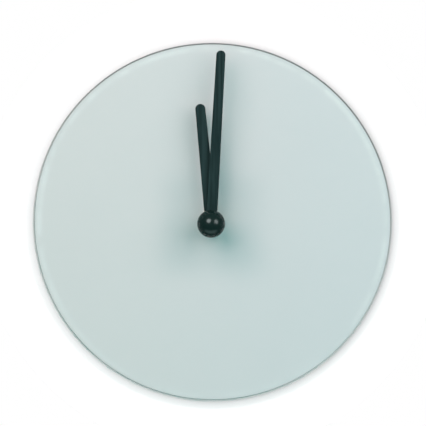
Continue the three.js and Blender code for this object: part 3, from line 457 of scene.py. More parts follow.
def stamped_steel():
    finish = Finish("stamped_steel")
    rolled = finish.noise(0.4, 3, 0.6, (1, 1, 16))
    stain = finish.noise(4, 2)
    tone = finish.mix(stain, (0.42, 0.43, 0.45), (0.55, 0.56, 0.57))
    return finish.surface(tone, 0.3 + 0.2 * rolled, rolled, 0.004, {"Metallic": 1.0})


def sintered_magnet():
    finish = Finish("sintered_magnet")
    grain = finish.cells(0.18)
    pits = finish.noise(0.6, 3, 0.6)
    tone = finish.mix(pits, (0.030, 0.030, 0.033), (0.070, 0.068, 0.068))
    return finish.surface(tone, 0.45 + 0.2 * grain, grain, 0.01, {"Metallic": 0.3})


def white_acetal():
    finish = Finish("white_acetal")
    flow = finish.noise(3, 2)
    grain = finish.noise(0.2, 2)
    tone = finish.mix(flow, (0.74, 0.71, 0.63), (0.80, 0.78, 0.71))
    return finish.surface(tone, 0.38 + 0.12 * flow, grain, 0.004)


def green_nylon():
    finish = Finish("green_nylon")
    flow = finish.noise(2.2, 3)
    grain = finish.noise(0.25, 2)
    tone = finish.mix(flow, (0.022, 0.105, 0.040), (0.040, 0.155, 0.065))
    return finish.surface(tone, 0.42 + 0.14 * flow, grain, 0.006)


def enamelled_copper():
    finish = Finish("enamelled_copper_wire")
    batch = finish.noise(0.8, 2, 0.5, (1, 4, 4))
    scuff = finish.noise(0.25, 2)
    tone = finish.mix(batch, (0.44, 0.15, 0.045), (0.62, 0.26, 0.09))
    return finish.surface(tone, 0.24 + 0.14 * scuff, scuff, 0.004, {"Metallic": 0.85})


def brown_board():
    finish = Finish("brown_laminate_board")
    paper = finish.noise(0.7, 3, 0.6, (1, 1, 5))
    lanes = (finish.right * (FULL_TURN / 3.1)).sine()
    bends = finish.noise(5, 1)
    track = finish.step(0.55, 0.7, lanes + bends - 0.5)
    tone = finish.mix(paper, (0.16, 0.085, 0.030), (0.24, 0.135, 0.055))
    tone = finish.mix(track, tone, (0.40, 0.20, 0.07))
    return finish.surface(tone, 0.55 - 0.15 * track, track, 0.03)


def black_epoxy():
    finish = Finish("black_epoxy_drop")
    sag = finish.noise(1.4, 2)
    tone = finish.mix(sag, (0.006, 0.006, 0.006), (0.014, 0.014, 0.014))
    return finish.surface(tone, 0.16 + 0.2 * sag, sag, 0.03)


def cell_sleeve(low, high):
    """The battery's printed sleeve: a dark body, a copper band at the positive end and two plain signs."""
    finish = Finish("battery_sleeve")
    left = low.x / MM
    span = high.x / MM - left
    along = (finish.right - left) / span
    across = abs(finish.up - (low.z + high.z) / 2 / MM)
    grain = finish.noise(0.4, 2, 0.6, (6, 1, 1))
    scuff = finish.step(0.58, 0.74, finish.noise(3.2, 3, 0.6))

    def stroke(thin, long):
        """A printed bar, from the distances across it and along it."""
        half_width, half_length = CELL_SIGN
        thin_part = 1 - finish.step(half_width, half_width + 0.1, thin)
        return thin_part * (1 - finish.step(half_length, half_length + 0.1, long))

    body = finish.mix(grain, (0.020, 0.023, 0.028), (0.030, 0.034, 0.040))
    band = finish.mix(grain, (0.46, 0.20, 0.07), (0.58, 0.28, 0.11))
    tone = finish.mix(finish.step(CELL_BAND, CELL_BAND + 0.004, along), body, band)
    from_line, past_line = (finish.step(share, share + 0.003, along) for share in CELL_LINE)
    tone = finish.mix(from_line * (1 - past_line), tone, (0.62, 0.60, 0.55))
    at_plus = abs(finish.right - (left + CELL_PLUS * span))
    at_minus = abs(finish.right - (left + CELL_MINUS * span))
    signs = stroke(across, at_plus).most(stroke(at_plus, across)).most(stroke(across, at_minus))
    tone = finish.mix(signs, tone, (0.72, 0.70, 0.66))
    tone = finish.mix(0.3 * scuff, tone, (0.16, 0.15, 0.14))
    return finish.surface(tone, 0.26 + 0.2 * scuff, grain, 0.004)


def plated_steel():
    finish = Finish("plated_steel_cap")
    drawn = finish.noise(0.4, 3, 0.6)
    tone = finish.mix(drawn, (0.55, 0.55, 0.55), (0.70, 0.70, 0.69))
    return finish.surface(tone, 0.2 + 0.2 * drawn, drawn, 0.004, {"Metallic": 1.0})


finishes = {
    "glass_clear": clear_glass(),
    "glass_edge": ground_glass(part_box("glass_disc")[0].y / -MM),
    "coat_white": dial_paint(),
    "coat_back": coat_back_paint(),
    "hand_black": hand_paint(),
    "ball_black": ball_gloss(),
    "rubber_black": rubber(),
    "brass_turned": turned_brass(),
    "case_black": moulded_black(),
    "nickel_strip": nickel(),
    "steel_sheet": stamped_steel(),
    "magnet_dark": sintered_magnet(),
    "gear_white": white_acetal(),
    "bobbin_green": green_nylon(),
    "copper_wire": enamelled_copper(),
    "board_brown": brown_board(),
    "epoxy_black": black_epoxy(),
    "battery_shell": cell_sleeve(*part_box("battery_cell")),
    "battery_cap": plated_steel(),
}


# Places and sizes, from the solids
def depths(node):
    low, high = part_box(node)
    return -high.y / MM, -low.y / MM


def centre_of(node):
    low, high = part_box(node)
    return (low.x + high.x) / 2 / MM, (low.z + high.z) / 2 / MM


def radius_of(node):
    low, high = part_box(node)
    return (high.x - low.x) / 2 / MM


def bore_of(node):
    """The radius of the hole on the hands' axis."""
    return min(math.hypot(v.co.x, v.co.z) for v in nodes[node].data.vertices) / MM


def tip_of(node):
    """A hand's length and its clockwise angle."""
    tip = max((v.co for v in nodes[node].data.vertices), key=lambda co: math.hypot(co.x, co.z))
    return math.hypot(tip.x, tip.z) / MM, math.atan2(tip.x, tip.z)


# Making meshes
def rounded(corners, steps=4):
    """A profile whose corners, each (radius, depth, rounding), are rounded off."""
    points = []
    for i, (radius, depth, rounding) in enumerate(corners):
        here = Vector((radius, depth))
        if not rounding:
            points.append(here)
            continue
        before = Vector(corners[i - 1][:2]) - here
        after = Vector(corners[(i + 1) % len(corners)][:2]) - here
        start = before.normalized() * min(rounding, before.length * BEND_SHARE)
        end = after.normalized() * min(rounding, after.length * BEND_SHARE)
        # A point just beyond each end of the bend keeps the flats beside it flat.
        points.append(here + FLAT_GUARD * start)
        for step in range(steps + 1):
            t = step / steps
            points.append(here + (1 - t) ** 2 * start + t * t * end)
        points.append(here + FLAT_GUARD * end)
    return points


def arc(centre, radius, start, end, steps):
    return [
        Vector((centre[0] + radius * math.cos(a), centre[1] + radius * math.sin(a)))
        for a in (start + (end - start) * i / steps for i in range(steps + 1))
    ]


def turned(profile, sides, centre=(0, 0)):
    """A body turned about an axis through the dial, from points of (radius, depth)."""
    body = bmesh.new()
    rings = []
    for radius, depth in profile:
        if radius < 1e-6:
            rings.append([body.verts.new((*centre, depth))])
        else:
            around = arc(centre, radius, 0, FULL_TURN, sides)[:-1]
            rings.append([body.verts.new((*point, depth)) for point in around])
    if len(rings[0]) > 1 and len(rings[-1]) > 1:
        rings.append(rings[0])
    for one, two in zip(rings, rings[1:]):
        for i in range(sides):
            j = (i + 1) % sides
            corners = (one[i % len(one)], one[j % len(one)], two[j % len(two)], two[i % len(two)])
            corners = list(dict.fromkeys(corners))
            if len(corners) > 2:
                body.faces.new(corners)
    bmesh.ops.recalc_face_normals(body, faces=body.faces)
    return body


def square(left, right, bottom, top):
    return [(left, bottom), (right, bottom), (right, top), (left, top)]


def outward(loop):
    """The direction out of the material at each point of a loop."""
    sides = []
    for i, point in enumerate(loop):
        edge = (loop[(i + 1) % len(loop)] - point).normalized()
        sides.append(Vector((edge.y, -edge.x)))
    return [
        (sides[i - 1] + sides[i]) / (1 + max(-0.5, sides[i - 1].dot(sides[i])))
        for i in range(len(loop))
    ]


def plate(loops, back, front, edge, steps=4):
    """A flat piece with rounded edges. Its outline runs anticlockwise, and its holes run clockwise."""
    body = bmesh.new()
    bends = [math.pi / 2 * i / steps for i in range(steps + 1)]
    layers = [(edge * (1 - math.sin(a)), back + edge * (1 - math.cos(a))) for a in bends]
    layers += [(edge * (1 - math.sin(a)), front - edge * (1 - math.cos(a))) for a in reversed(bends)]
    layers = [(FLAT_GUARD * edge, back), *layers, (FLAT_GUARD * edge, front)]
    caps = ([], [])
    for loop in loops:
        away = outward(loop)
        rings = [
            [body.verts.new((*(point - side * inset), depth)) for point, side in zip(loop, away)]
            for inset, depth in layers
        ]
        count = len(loop)
        for one, two in zip(rings, rings[1:]):
            for i in range(count):
                j = (i + 1) % count
                body.faces.new((one[i], one[j], two[j], two[i]))
        for cap, ring in zip(caps, (rings[0], rings[-1])):
            cap += [body.edges.get((ring[i], ring[(i + 1) % count])) for i in range(count)]
    for cap in caps:
        bmesh.ops.triangle_fill(body, use_beauty=True, edges=cap)
    bmesh.ops.recalc_face_normals(body, faces=body.faces)
    return body


def mesh_of(name, body, slots, choose=None, place=DIAL):
    """A mesh from a drawn body. `choose` gives each face's finish from its middle and its direction."""
    body.normal_update()
    if choose:
        for face in body.faces:
            face.material_index = choose(face.calc_center_median(), face.normal)
    body.transform(place)
    mesh = bpy.data.meshes.new(name)
    body.to_mesh(mesh)
    body.free()
    for slot in slots:
        mesh.materials.append(finishes[slot])
    return mesh


def placed(name, data):
    """A new object in the scene."""
    made = bpy.data.objects.new(name, data)
    bpy.context.scene.collection.objects.link(made)
    return made


def piece(name, mesh, body, replaced=(), crease=32):
    """A finished piece that moves with a body of the clock and stands for the solids it replaces."""
    made = placed(name, mesh)
    mesh.shade_smooth()
    mesh.set_sharp_from_angle(angle=math.radians(crease))
    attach(made, body)
    if replaced:
        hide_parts(*replaced)
    return made


def keep_flats(mesh):
    """Creases round the flats, so that they shade flat beside rounded edges."""
    body = bmesh.new()
    body.from_mesh(mesh)
    for line in body.edges:
        flats = [max(abs(part) for part in face.normal) > 0.9999 for face in line.link_faces]
        if any(flats) and line.calc_face_angle(0) > FLAT_ANGLE:
            line.smooth = False
    body.to_mesh(mesh)
    body.free()


def settled(made):
    """The object's mesh with its modifiers worked in; the object itself is removed."""
    bpy.context.view_layer.update()
    whole = made.evaluated_get(bpy.context.evaluated_depsgraph_get())
    mesh = bpy.data.meshes.new_from_object(whole)
    made.modifiers.clear()
    bpy.data.objects.remove(made)
    return mesh


def softened(node, slot, edge, planes=None, marks=()):
    """A copy of a moulded or stamped solid with its marks sunk in and its outer edges rounded.

    Where `planes` gives depths, only the edges that lie at one of them are rounded.
    """
    body = bmesh.new()
    body.from_mesh(nodes[node].data)
    bmesh.ops.remove_doubles(body, verts=body.verts, dist=1e-6)
    bmesh.ops.dissolve_limit(body, angle_limit=FLAT_ANGLE, verts=body.verts, edges=body.edges)

    def lies_at(shape, depth):
        return all(abs(-corner.co.y / MM - depth) < 0.01 for corner in shape.verts)

    def is_outer(line):
        sharp = line.is_convex and line.calc_face_angle(0) > SHARP_ANGLE
        return sharp and (planes is None or any(lies_at(line, depth) for depth in planes))

    outer = [line for line in body.edges if is_outer(line)]
    bmesh.ops.bevel(
        body,
        geom=outer,
        offset=edge * MM,
        segments=3,
        profile=0.5,
        affect="EDGES",
        loop_slide=planes is None,
    )
    # The flats between the rounded edges are filled anew.
    for depth in planes or ():
        flats = [face for face in body.faces if lies_at(face, depth)]
        bmesh.ops.delete(body, geom=flats, context="FACES")
        rim = [line for line in body.edges if line.is_boundary]
        bmesh.ops.triangle_fill(body, use_beauty=True, edges=rim)
    bmesh.ops.recalc_face_normals(body, faces=body.faces)
    rough = placed(node + "_rough", mesh_of(node + "_soft", body, [slot], place=Matrix()))
    cutters = []
    for i, mark in enumerate(marks):
        cutter = placed(f"{node}_mark_{i}", mesh_of(f"{node}_mark_{i}", mark, [slot]))
        cut = rough.modifiers.new(f"mark_{i}", "BOOLEAN")
        cut.operation = "DIFFERENCE"
        cut.solver = "EXACT"
        cut.object = cutter
        cutters.append(cutter)
    mesh = settled(rough)
    for cutter in cutters:
        bpy.data.objects.remove(cutter)
    return mesh


# Pieces that repeat or follow a path
class Grower(Web):
    """A geometry tree with named inputs, which ends in real geometry with its finish set."""

    def __init__(self, name, inputs):
        tree = bpy.data.node_groups.new(name, "GeometryNodeTree")
        super().__init__(tree)
        self.sockets = {}
        for label, kind in {**inputs, "Finish": "NodeSocketMaterial"}.items():
            socket = tree.interface.new_socket(label, in_out="INPUT", socket_type=kind)
            self.sockets[label] = socket.identifier
        tree.interface.new_socket("Geometry", in_out="OUTPUT", socket_type="NodeSocketGeometry")
        self.given = self.node("NodeGroupInput")

    def size(self, label):
        return self.given.other(label)

    def end(self, geometry):
        real = self.node("GeometryNodeRealizeInstances", {}, {"Geometry": geometry})
        finish = self.size("Finish")
        dressed = self.node("GeometryNodeSetMaterial", {}, {"Geometry": real, "Material": finish})
        self.node("NodeGroupOutput", {}, {"Geometry": dressed})

    def grow(self, name, values, place):
        """A mesh of the tree with these sizes, in millimetres, set in its place."""
        made = placed(name, bpy.data.meshes.new(name + "_seed"))
        modifier = made.modifiers.new("grow", "NODES")
        modifier.node_group = self.tree
        for label, value in values.items():
            modifier[self.sockets[label]] = value
        mesh = settled(made)
        mesh.name = name
        mesh.transform(place)
        return mesh


def wire_grower():
    grower = Grower("wound_wire", {
        "Turns": "NodeSocketFloat",
        "Radius": "NodeSocketFloat",
        "Length": "NodeSocketFloat",
        "Wire radius": "NodeSocketFloat",
    })
    path = grower.node("GeometryNodeCurveSpiral", {}, {
        "Resolution": 40,
        "Rotations": grower.size("Turns"),
        "Start Radius": grower.size("Radius"),
        "End Radius": grower.size("Radius"),
        "Height": grower.size("Length"),
    })
    section = grower.node("GeometryNodeCurvePrimitiveCircle", {}, {
        "Resolution": 8, "Radius": grower.size("Wire radius"),
    })
    wire = grower.node("GeometryNodeCurveToMesh", {}, {
        "Curve": path, "Profile Curve": section, "Fill Caps": True,
    })
    grower.end(wire)
    return grower


def ridge_grower():
    grower = Grower("knob_ridges", {
        "Ridges": "NodeSocketInt",
        "Radius": "NodeSocketFloat",
        "Ridge radius": "NodeSocketFloat",
        "Length": "NodeSocketFloat",
    })
    around = grower.node("GeometryNodeMeshCircle", {}, {
        "Vertices": grower.size("Ridges"), "Radius": grower.size("Radius"),
    })
    ridge = grower.node("GeometryNodeMeshCylinder", {}, {
        "Vertices": 12, "Radius": grower.size("Ridge radius"), "Depth": grower.size("Length"),
    })
    grower.end(grower.node("GeometryNodeInstanceOnPoints", {}, {"Points": around, "Instance": ridge}))
    return grower


# Glass face and its coat
def glass_face():
    back, front = depths("glass_disc")
    bore, rim = bore_of("glass_disc"), radius_of("glass_disc")
    profile = rounded([
        (bore, back, GLASS_BORE_EDGE),
        (rim - GLASS_CHAMFER, back, CHAMFER_EDGES[0]),
        (rim, back + GLASS_CHAMFER, CHAMFER_EDGES[1]),
        (rim, front - GLASS_CHAMFER, CHAMFER_EDGES[1]),
        (rim - GLASS_CHAMFER, front, CHAMFER_EDGES[0]),
        (bore, front, GLASS_BORE_EDGE),
    ])

    def is_ground(middle, direction):
        return int(abs(direction.z) < 0.98)

    mesh = mesh_of("glass_face", turned(profile, DIAL_SIDES), ["glass_clear", "glass_edge"], is_ground)
    glass = piece("glass_face", mesh, "clock_body", ["glass_disc"], crease=25)
    # The lamps reach the coat through the glass.
    glass.visible_shadow = False
    glass.visible_diffuse = False


def ring_profile(node, edge):
    back, front = depths(node)
    bore, rim = bore_of(node), radius_of(node)
    return rounded([(bore, back, edge), (rim, back, edge), (rim, front, edge), (bore, front, edge)])


def dial_coat():
    def is_back(middle, direction):
        return int(direction.z < 0.9)

    shape = turned(ring_profile("white_back_coat", COAT_EDGE), DIAL_SIDES)
    mesh = mesh_of("dial_coat", shape, ["coat_white", "coat_back"], is_back)
    piece("dial_coat", mesh, "clock_body", ["white_back_coat"])


# Clamp through the glass
def turned_ring(name, node, slot, edge):
    mesh = mesh_of(name, turned(ring_profile(node, edge), RING_SIDES), [slot])
    piece(name, mesh, "clock_body", [node])


def clamp_nut():
    back, front = depths("hex_nut")
    bore, corner = bore_of("hex_nut"), radius_of("hex_nut")
    flat = corner * math.cos(math.pi / 6)
    facing = corner - NUT_FACING
    body = bmesh.new()
    columns = []
    for i in range(NUT_SIDES):
        angle = FULL_TURN * i / NUT_SIDES
        reach = flat / math.cos((angle % (math.pi / 3)) - math.pi / 6)
        drop = max(0.0, reach - facing) * NUT_SLOPE
        section = [
            (bore + NUT_BORE_EDGES[0], back),
            (reach - NUT_EDGE, back),
            (reach, back + NUT_EDGE),
            (reach, front - drop - NUT_LAND),
            (min(reach, facing), front),
            (bore + NUT_BORE_EDGES[1], front),
            (bore, front - NUT_BORE_EDGES[1]),
            (bore, back + NUT_BORE_EDGES[0]),
        ]
        columns.append([
            body.verts.new((radius * math.cos(angle), radius * math.sin(angle), depth))
            for radius, depth in section
        ])
    for one, two in zip(columns, columns[1:] + columns[:1]):
        for i in range(len(one)):
            j = (i + 1) % len(one)
            body.faces.new((one[i], two[i], two[j], one[j]))
    bmesh.ops.remove_doubles(body, verts=body.verts, dist=1e-4)
    bmesh.ops.recalc_face_normals(body, faces=body.faces)
    mesh = mesh_of("clamp_nut", body, ["brass_turned"])
    piece("clamp_nut", mesh, "clock_body", ["hex_nut"], crease=20)


def bush_with_thread(wire):
    back, front = depths("threaded_bush")
    bore = bore_of("threaded_bush")
    flange = radius_of("threaded_bush")
    core = bore_of("clamp_washer") - BUSH_PLAY - THREAD_HEIGHT
    flange_front = back + BUSH_FLANGE
    profile = rounded([
        (bore, back, 0.1),
        (flange, back, 0.1),
        (flange, flange_front, 0.1),
        (core, flange_front, 0.05),
        (core, front, 0.2),
        (bore, front, 0.2),
    ])
    mesh = mesh_of("bush_core", turned(profile, BUSH_SIDES), ["brass_turned"])
    piece("bush_core", mesh, "clock_body", ["threaded_bush"])
    start, end = flange_front + THREAD_MARGINS[0], front - THREAD_MARGINS[1]
    turns = round((end - start) / THREAD_PITCH)
    values = {
        "Turns": float(turns),
        "Radius": core,
        "Length": turns * THREAD_PITCH,
        "Wire radius": THREAD_HEIGHT,
        "Finish": finishes["brass_turned"],
    }
    place = DIAL @ Matrix.Translation((0, 0, end - turns * THREAD_PITCH))
    piece("bush_thread", wire.grow("bush_thread", values, place), "clock_body")


# Hands
def hand(name, node, widths, body):
    length, angle = tip_of(node)
    back, front = depths(node)
    bore = bore_of(node)
    hub = bore + HAND_HUB_WALL
    tip, root = widths[0] / 2, widths[1] / 2
    tip_centre = length - tip
    # The bar's sides meet the hub where its width and the hub's arc agree.
    rise = 0.0
    for _ in range(20):
        half = root + (tip - root) * rise / tip_centre
        rise = math.sqrt(hub * hub - half * half)
    meet = math.atan2(rise, half)
    outline = arc((0, tip_centre), tip, 0, math.pi, 40)
    outline += arc((0, 0), hub, math.pi - meet, FULL_TURN + meet, 72)
    hole = list(reversed(arc((0, 0), bore, 0, FULL_TURN, 64)[:-1]))
    shape = plate([outline, hole], back, front, HAND_EDGE)
    shape.transform(Matrix.Rotation(-angle, 4, "Z"))
    piece(name, mesh_of(name, shape, ["hand_black"]), body, [node], crease=50)


def ball_cap():
    back, front = depths("ball_cap")
    radius = radius_of("ball_cap")
    middle = front - radius
    start = math.asin((back - middle) / radius)
    heel = start + BALL_HEEL
    foot = radius * math.cos(start)
    profile = [Vector((0, back + BALL_RECESS)), Vector((foot - BALL_LIP[1], back + BALL_RECESS))]
    profile += rounded([
        (foot - BALL_LIP[0], back, 0.1),
        (foot, back, 0.12),
        (radius * math.cos(heel), middle + radius * math.sin(heel), 0),
    ])[:-1]
    profile += arc((0, middle), radius, heel, math.pi / 2, BALL_STEPS)[:-1]
    profile.append(Vector((0, front)))
    mesh = mesh_of("ball_cap_gloss", turned(profile, BALL_SIDES), ["ball_black"])
    piece("ball_cap_gloss", mesh, "minute_works", ["ball_cap"], crease=30)


# Movement
def setting_knob(ridges):
    back, front = depths("setting_knob")
    reach = radius_of("setting_knob")
    centre = centre_of("setting_knob")
    core = reach - RIDGE_RADIUS
    grip = back + KNOB_GRIP_THICKNESS
    profile = rounded([
        (0, back + KNOB_DISH, 0),
        (core - KNOB_RIM[1], back + KNOB_DISH, 0.25),
        (core - KNOB_RIM[0], back, 0.2),
        (core, back, 0.25),
        (core, grip, 0.25),
        (KNOB_SHAFT_RADIUS, grip, 0.15),
        (KNOB_SHAFT_RADIUS, front, 0.1),
        (KNOB_SOCKET_RADIUS, front, 0.05),
        (KNOB_SOCKET_RADIUS, front - KNOB_SOCKET_DEPTH, 0),
        (0, front - KNOB_SOCKET_DEPTH, 0),
    ])
    mesh = mesh_of("knob_core", turned(profile, KNOB_SIDES, centre), ["case_black"])
    piece("knob_core", mesh, "setting_works", ["setting_knob"])
    values = {
        "Ridges": KNOB_RIDGES,
        "Radius": core,
        "Ridge radius": RIDGE_RADIUS,
        "Length": KNOB_GRIP_THICKNESS - RIDGE_MARGIN,
        "Finish": finishes["case_black"],
    }
    place = DIAL @ Matrix.Translation((*centre, back + KNOB_GRIP_THICKNESS / 2))
    piece("knob_ridges", ridges.grow("knob_ridges", values, place), "setting_works")


def cover_marks():
    """Cutters for the cover: a frame line, two arrows for setting the hands, and the cell's two signs."""
    low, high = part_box("rear_cover")
    back = depths("rear_cover")[0]
    half = MARK_WIDTH / 2
    knob = centre_of("setting_knob")
    left, bottom = low.x / MM + 1, low.z / MM
    right, top = high.x / MM - 1, high.z / MM

    def sunk(*loops):
        outlines = [[Vector(point) for point in loop] for loop in loops]
        return plate(outlines, back - 1, back + MARK_DEPTH, MARK_EDGE, 2)

    def inside(inset):
        return square(left + inset, right - inset, bottom + inset, top - inset)

    def curved_arrow(start, end):
        radius = radius_of("setting_knob") + ARROW_GAP
        lead = math.copysign(2 * ARROW_HEAD / radius, end - start)
        outer = arc(knob, radius + half, start, end, 24)
        inner = arc(knob, radius - half, end, start, 24)
        head = [
            arc(knob, radius + reach, angle, angle, 1)[0]
            for reach, angle in ((ARROW_HEAD, end), (0, end + lead), (-ARROW_HEAD, end))
        ]
        loop = outer + head + inner
        return loop if end > start else list(reversed(loop))

    def bar(x, y, across, along):
        return square(x - across / 2, x + across / 2, y - along / 2, y + along / 2)

    def plus(x, y):
        arm = MARK_LENGTH / 2
        quarter = [Vector((arm, -half)), Vector((arm, half)), Vector((half, half))]
        turns = [Matrix.Rotation(i * math.pi / 2, 2) for i in range(4)]
        return [Vector((x, y)) + turn @ point for turn in turns for point in quarter]

    sign_y = bottom + SIGN_INSET[1]
    return [
        sunk(inside(FRAME_INSET), list(reversed(inside(FRAME_INSET + MARK_WIDTH)))),
        sunk(curved_arrow(*LEFT_ARROW)),
        sunk(curved_arrow(*RIGHT_ARROW)),
        sunk(plus(right - SIGN_INSET[0], sign_y)),
        sunk(bar(left + SIGN_INSET[0], sign_y, MARK_LENGTH, MARK_WIDTH)),
    ]


def battery():
    low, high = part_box("battery_cell")
    length = (high.x - low.x) / MM
    radius = (high.z - low.z) / 2 / MM
    shoulder = length - CELL_NUB_LENGTH
    lip = radius - CELL_SLEEVE_LIP
    curl = radius - CELL_SLEEVE_CURL
    sleeve_start, sleeve_end = CELL_SLEEVE_ENDS[0], shoulder - CELL_SLEEVE_ENDS[1]
    profile = rounded([
        (0, CELL_BASE_DISH, 0),
        (radius - CELL_BASE_RIM[1], CELL_BASE_DISH, 0.1),
        (radius - CELL_BASE_RIM[0], 0, 0.1),
        (lip, 0, 0.05),
        (lip, sleeve_start, 0.03),
        (curl, sleeve_start, 0.2),
        (radius, sleeve_start + CELL_SLEEVE_CURL, 0.3),
        (radius, sleeve_end - CELL_SLEEVE_CURL - 0.1, 0.3),
        (curl, sleeve_end, 0.2),
        (lip, sleeve_end, 0.05),
        (lip, sleeve_end - 0.25, 0.03),
        (CELL_NUB_RADIUS + 0.4, shoulder - 0.35, 0.3),
        (CELL_NUB_RADIUS, shoulder + 0.1, 0.2),
        (CELL_NUB_RADIUS, length, 0.4),
        (0, length, 0),
    ])

    def is_cap(middle, direction):
        inner = math.hypot(middle.x, middle.y) < lip + 0.02
        return int(inner and (middle.z < 1 or middle.z > shoulder - 1))

    along = Matrix(((0, 0, MM, 0), (0, -MM, 0, 0), (MM, 0, 0, 0), (0, 0, 0, 1)))
    base = (low + high) / 2
    base.x = low.x
    place = Matrix.Translation(base) @ along
    shape = turned(profile, CELL_SIDES)
    mesh = mesh_of("cell_body", shape, ["battery_shell", "battery_cap"], is_cap, place)
    piece("cell_body", mesh, "battery", ["battery_cell"])


def coil_wire(wire):
    low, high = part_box("coil_winding")
    length = (high.x - low.x) / MM
    radius = (high.z - low.z) / 2 / MM
    turns = int(length / WIRE_DIAMETER) - 1
    values = {
        "Turns": float(turns),
        "Radius": radius - WIRE_DIAMETER / 2,
        "Length": turns * WIRE_DIAMETER,
        "Wire radius": WIRE_DIAMETER * WIRE_TOUCH,
        "Finish": finishes["copper_wire"],
    }
    along = Matrix(((0, 0, MM, 0), (0, MM, 0, 0), (-MM, 0, 0, 0), (0, 0, 0, 1)))
    start = Matrix.Translation((0, 0, -turns * WIRE_DIAMETER / 2))
    place = Matrix.Translation((low + high) / 2) @ along @ start
    mesh = wire.grow("coil_wire", values, place)
    piece("coil_wire", mesh, "clock_body", ["coil_winding"])


wire = wire_grower()
ridges = ridge_grower()
glass_face()
dial_coat()
turned_ring("gasket_ring", "rubber_gasket", "rubber_black", GASKET_EDGE)
turned_ring("washer_ring", "clamp_washer", "brass_turned", WASHER_EDGE)
clamp_nut()
bush_with_thread(wire)
hand("hour_hand_bar", "hour_hand", HOUR_WIDTHS, "hour_works")
hand("minute_hand_bar", "minute_hand", MINUTE_WIDTHS, "minute_works")
ball_cap()
case_planes = (*depths("movement_case"), LOOP_DEPTH)
for name, node, slot, edge, planes, marks in (
    ("case_shell", "movement_case", "case_black", MOULDED_EDGE, case_planes, []),
    ("cover_plate", "rear_cover", "case_black", MOULDED_EDGE, depths("rear_cover")[:1], cover_marks()),
    ("plus_contact", "positive_contact", "nickel_strip", STRIP_EDGE, None, []),
    ("minus_contact", "negative_contact", "nickel_strip", STRIP_EDGE, None, []),
):
    made = piece(name, softened(node, slot, edge, planes, marks), "clock_body", [node], crease=35)
    keep_flats(made.data)
setting_knob(ridges)
battery()
coil_wire(wire)

# The inner pieces keep their solids and take their finish.
for node, slot in {
    "gear_bridge": "case_black",
    "stator_plate": "steel_sheet",
    "coil_core": "steel_sheet",
    "coil_bobbin": "bobbin_green",
    "rotor_magnet": "magnet_dark",
    "rotor_pinion": "gear_white",
    "intermediate_wheel": "gear_white",
    "seconds_wheel": "gear_white",
    "third_wheel": "gear_white",
    "centre_wheel": "gear_white",
    "clutch_spring": "nickel_strip",
    "minute_pipe": "brass_turned",
    "minute_wheel": "gear_white",
    "hour_wheel": "gear_white",
    "circuit_board": "board_brown",
    "timer_chip": "epoxy_black",
    "quartz_crystal": "nickel_strip",
}.items():
    nodes[node].data.materials.clear()
    nodes[node].data.materials.append(finishes[slot])


# Stage: a white card close behind the glass and a pale floor
def stage_finish(name, color, lift, shade):
    """White paper that glows for the camera, so that its lit parts reach white while shadows stay."""
    finish = Finish(name)
    fibre = finish.noise(1.5, 2)
    tone = finish.mix(fibre, [0.98 * c for c in color], color)
    # A painted shadow darkens the paper towards black where `shade` gives it.
    tone = finish.mix(shade(finish), tone, (0.0, 0.0, 0.0))
    paper = finish.node("ShaderNodeBsdfDiffuse", {}, {"Color": tone})
    paths = finish.node("ShaderNodeLightPath", output="Is Camera Ray")
    seen = paths.most(paths.other("Is Glossy Ray")).most(paths.other("Is Transmission Ray"))
    strength = seen * lift(finish)
    glow = finish.node("ShaderNodeEmission", {}, {"Color": (1, 1, 1, 1), "Strength": strength})
    lit = finish.node("ShaderNodeAddShader", {}, {0: paper, 1: glow})
    clear = finish.node("ShaderNodeBsdfTransparent")
    behind = finish.node("ShaderNodeNewGeometry", output="Backfacing")
    return finish.done(finish.node("ShaderNodeMixShader", {}, {0: behind, 1: lit, 2: clear}))


def sheet_of(name, loops, finish, place):
    """A flat stage sheet that faces its own +z. The first loop is its edge, the others are openings."""
    body = bmesh.new()
    for loop in loops:
        corners = [body.verts.new((*point, 0)) for point in loop]
        for i, corner in enumerate(corners):
            body.edges.new((corners[i - 1], corner))
    bmesh.ops.triangle_fill(body, use_beauty=True, edges=body.edges, normal=(0, 0, 1))
    body.normal_update()
    for face in body.faces:
        if face.normal.z < 0:
            face.normal_flip()
    mesh = mesh_of(name, body, [], place=place)
    mesh.materials.append(finish)
    sheet = placed(name, mesh)
    sheet.visible_diffuse = False
    sheet.visible_shadow = False
    return sheet


def card():
    low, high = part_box("movement_case")
    opening = square(
        low.x / MM - CARD_GAP, high.x / MM + CARD_GAP, low.z / MM - CARD_GAP, high.z / MM + CARD_GAP
    )

    # Painted light: the card glows for the camera, weakly close to the glass and fully further out.
    def lift(finish):
        return 0.03 + 0.5 * finish.step(*CARD_WHITE, finish.radius())

    def shade(finish):
        """Painted shadow: the card is darkened in a soft band close round the glass."""
        beyond = (finish.radius(CARD_SHADE_CENTRE) - radius_of("glass_disc")).most(0)
        return CARD_SHADE * math.e ** (beyond / -CARD_SHADE_WIDTH)

    finish = stage_finish("white_card", (0.92, 0.92, 0.92), lift, shade)
    edge = arc((0, 0), CARD_RADIUS, 0, FULL_TURN, 180)[:-1]
    sheet_of("wall_card", [edge, opening], finish, DIAL @ Matrix.Translation((0, 0, CARD_DEPTH)))


def floor():
    # Painted light: the floor glows for the camera, more strongly far from the clock.
    def lift(finish):
        away = (finish.right * finish.right + finish.back * finish.back) ** 0.5
        return 0.36 + 0.7 * finish.step(*FLOOR_WHITE, away)

    finish = stage_finish("pale_floor", (0.86, 0.86, 0.85), lift, lambda finish: 0.0)
    place = Matrix.Translation((0, 0, -FLOOR_DROP * MM)) @ Matrix.Scale(MM, 4)
    edge = square(-FLOOR_HALF, FLOOR_HALF, -FLOOR_HALF, FLOOR_HALF)
    sheet = sheet_of("floor", [edge], finish, place)
    sheet.visible_glossy = False
    sheet.visible_transmission = False


card()
floor()


# Light: the highlight lamps pass the glass and its coat by, so that no side view fills them with glare
beside_glass = bpy.data.collections.new("beside_glass")
for i, name in enumerate(("glass_face", "dial_coat")):
    beside_glass.objects.link(bpy.data.objects[name])
    beside_glass.collection_objects[i].light_linking.link_state = "EXCLUDE"


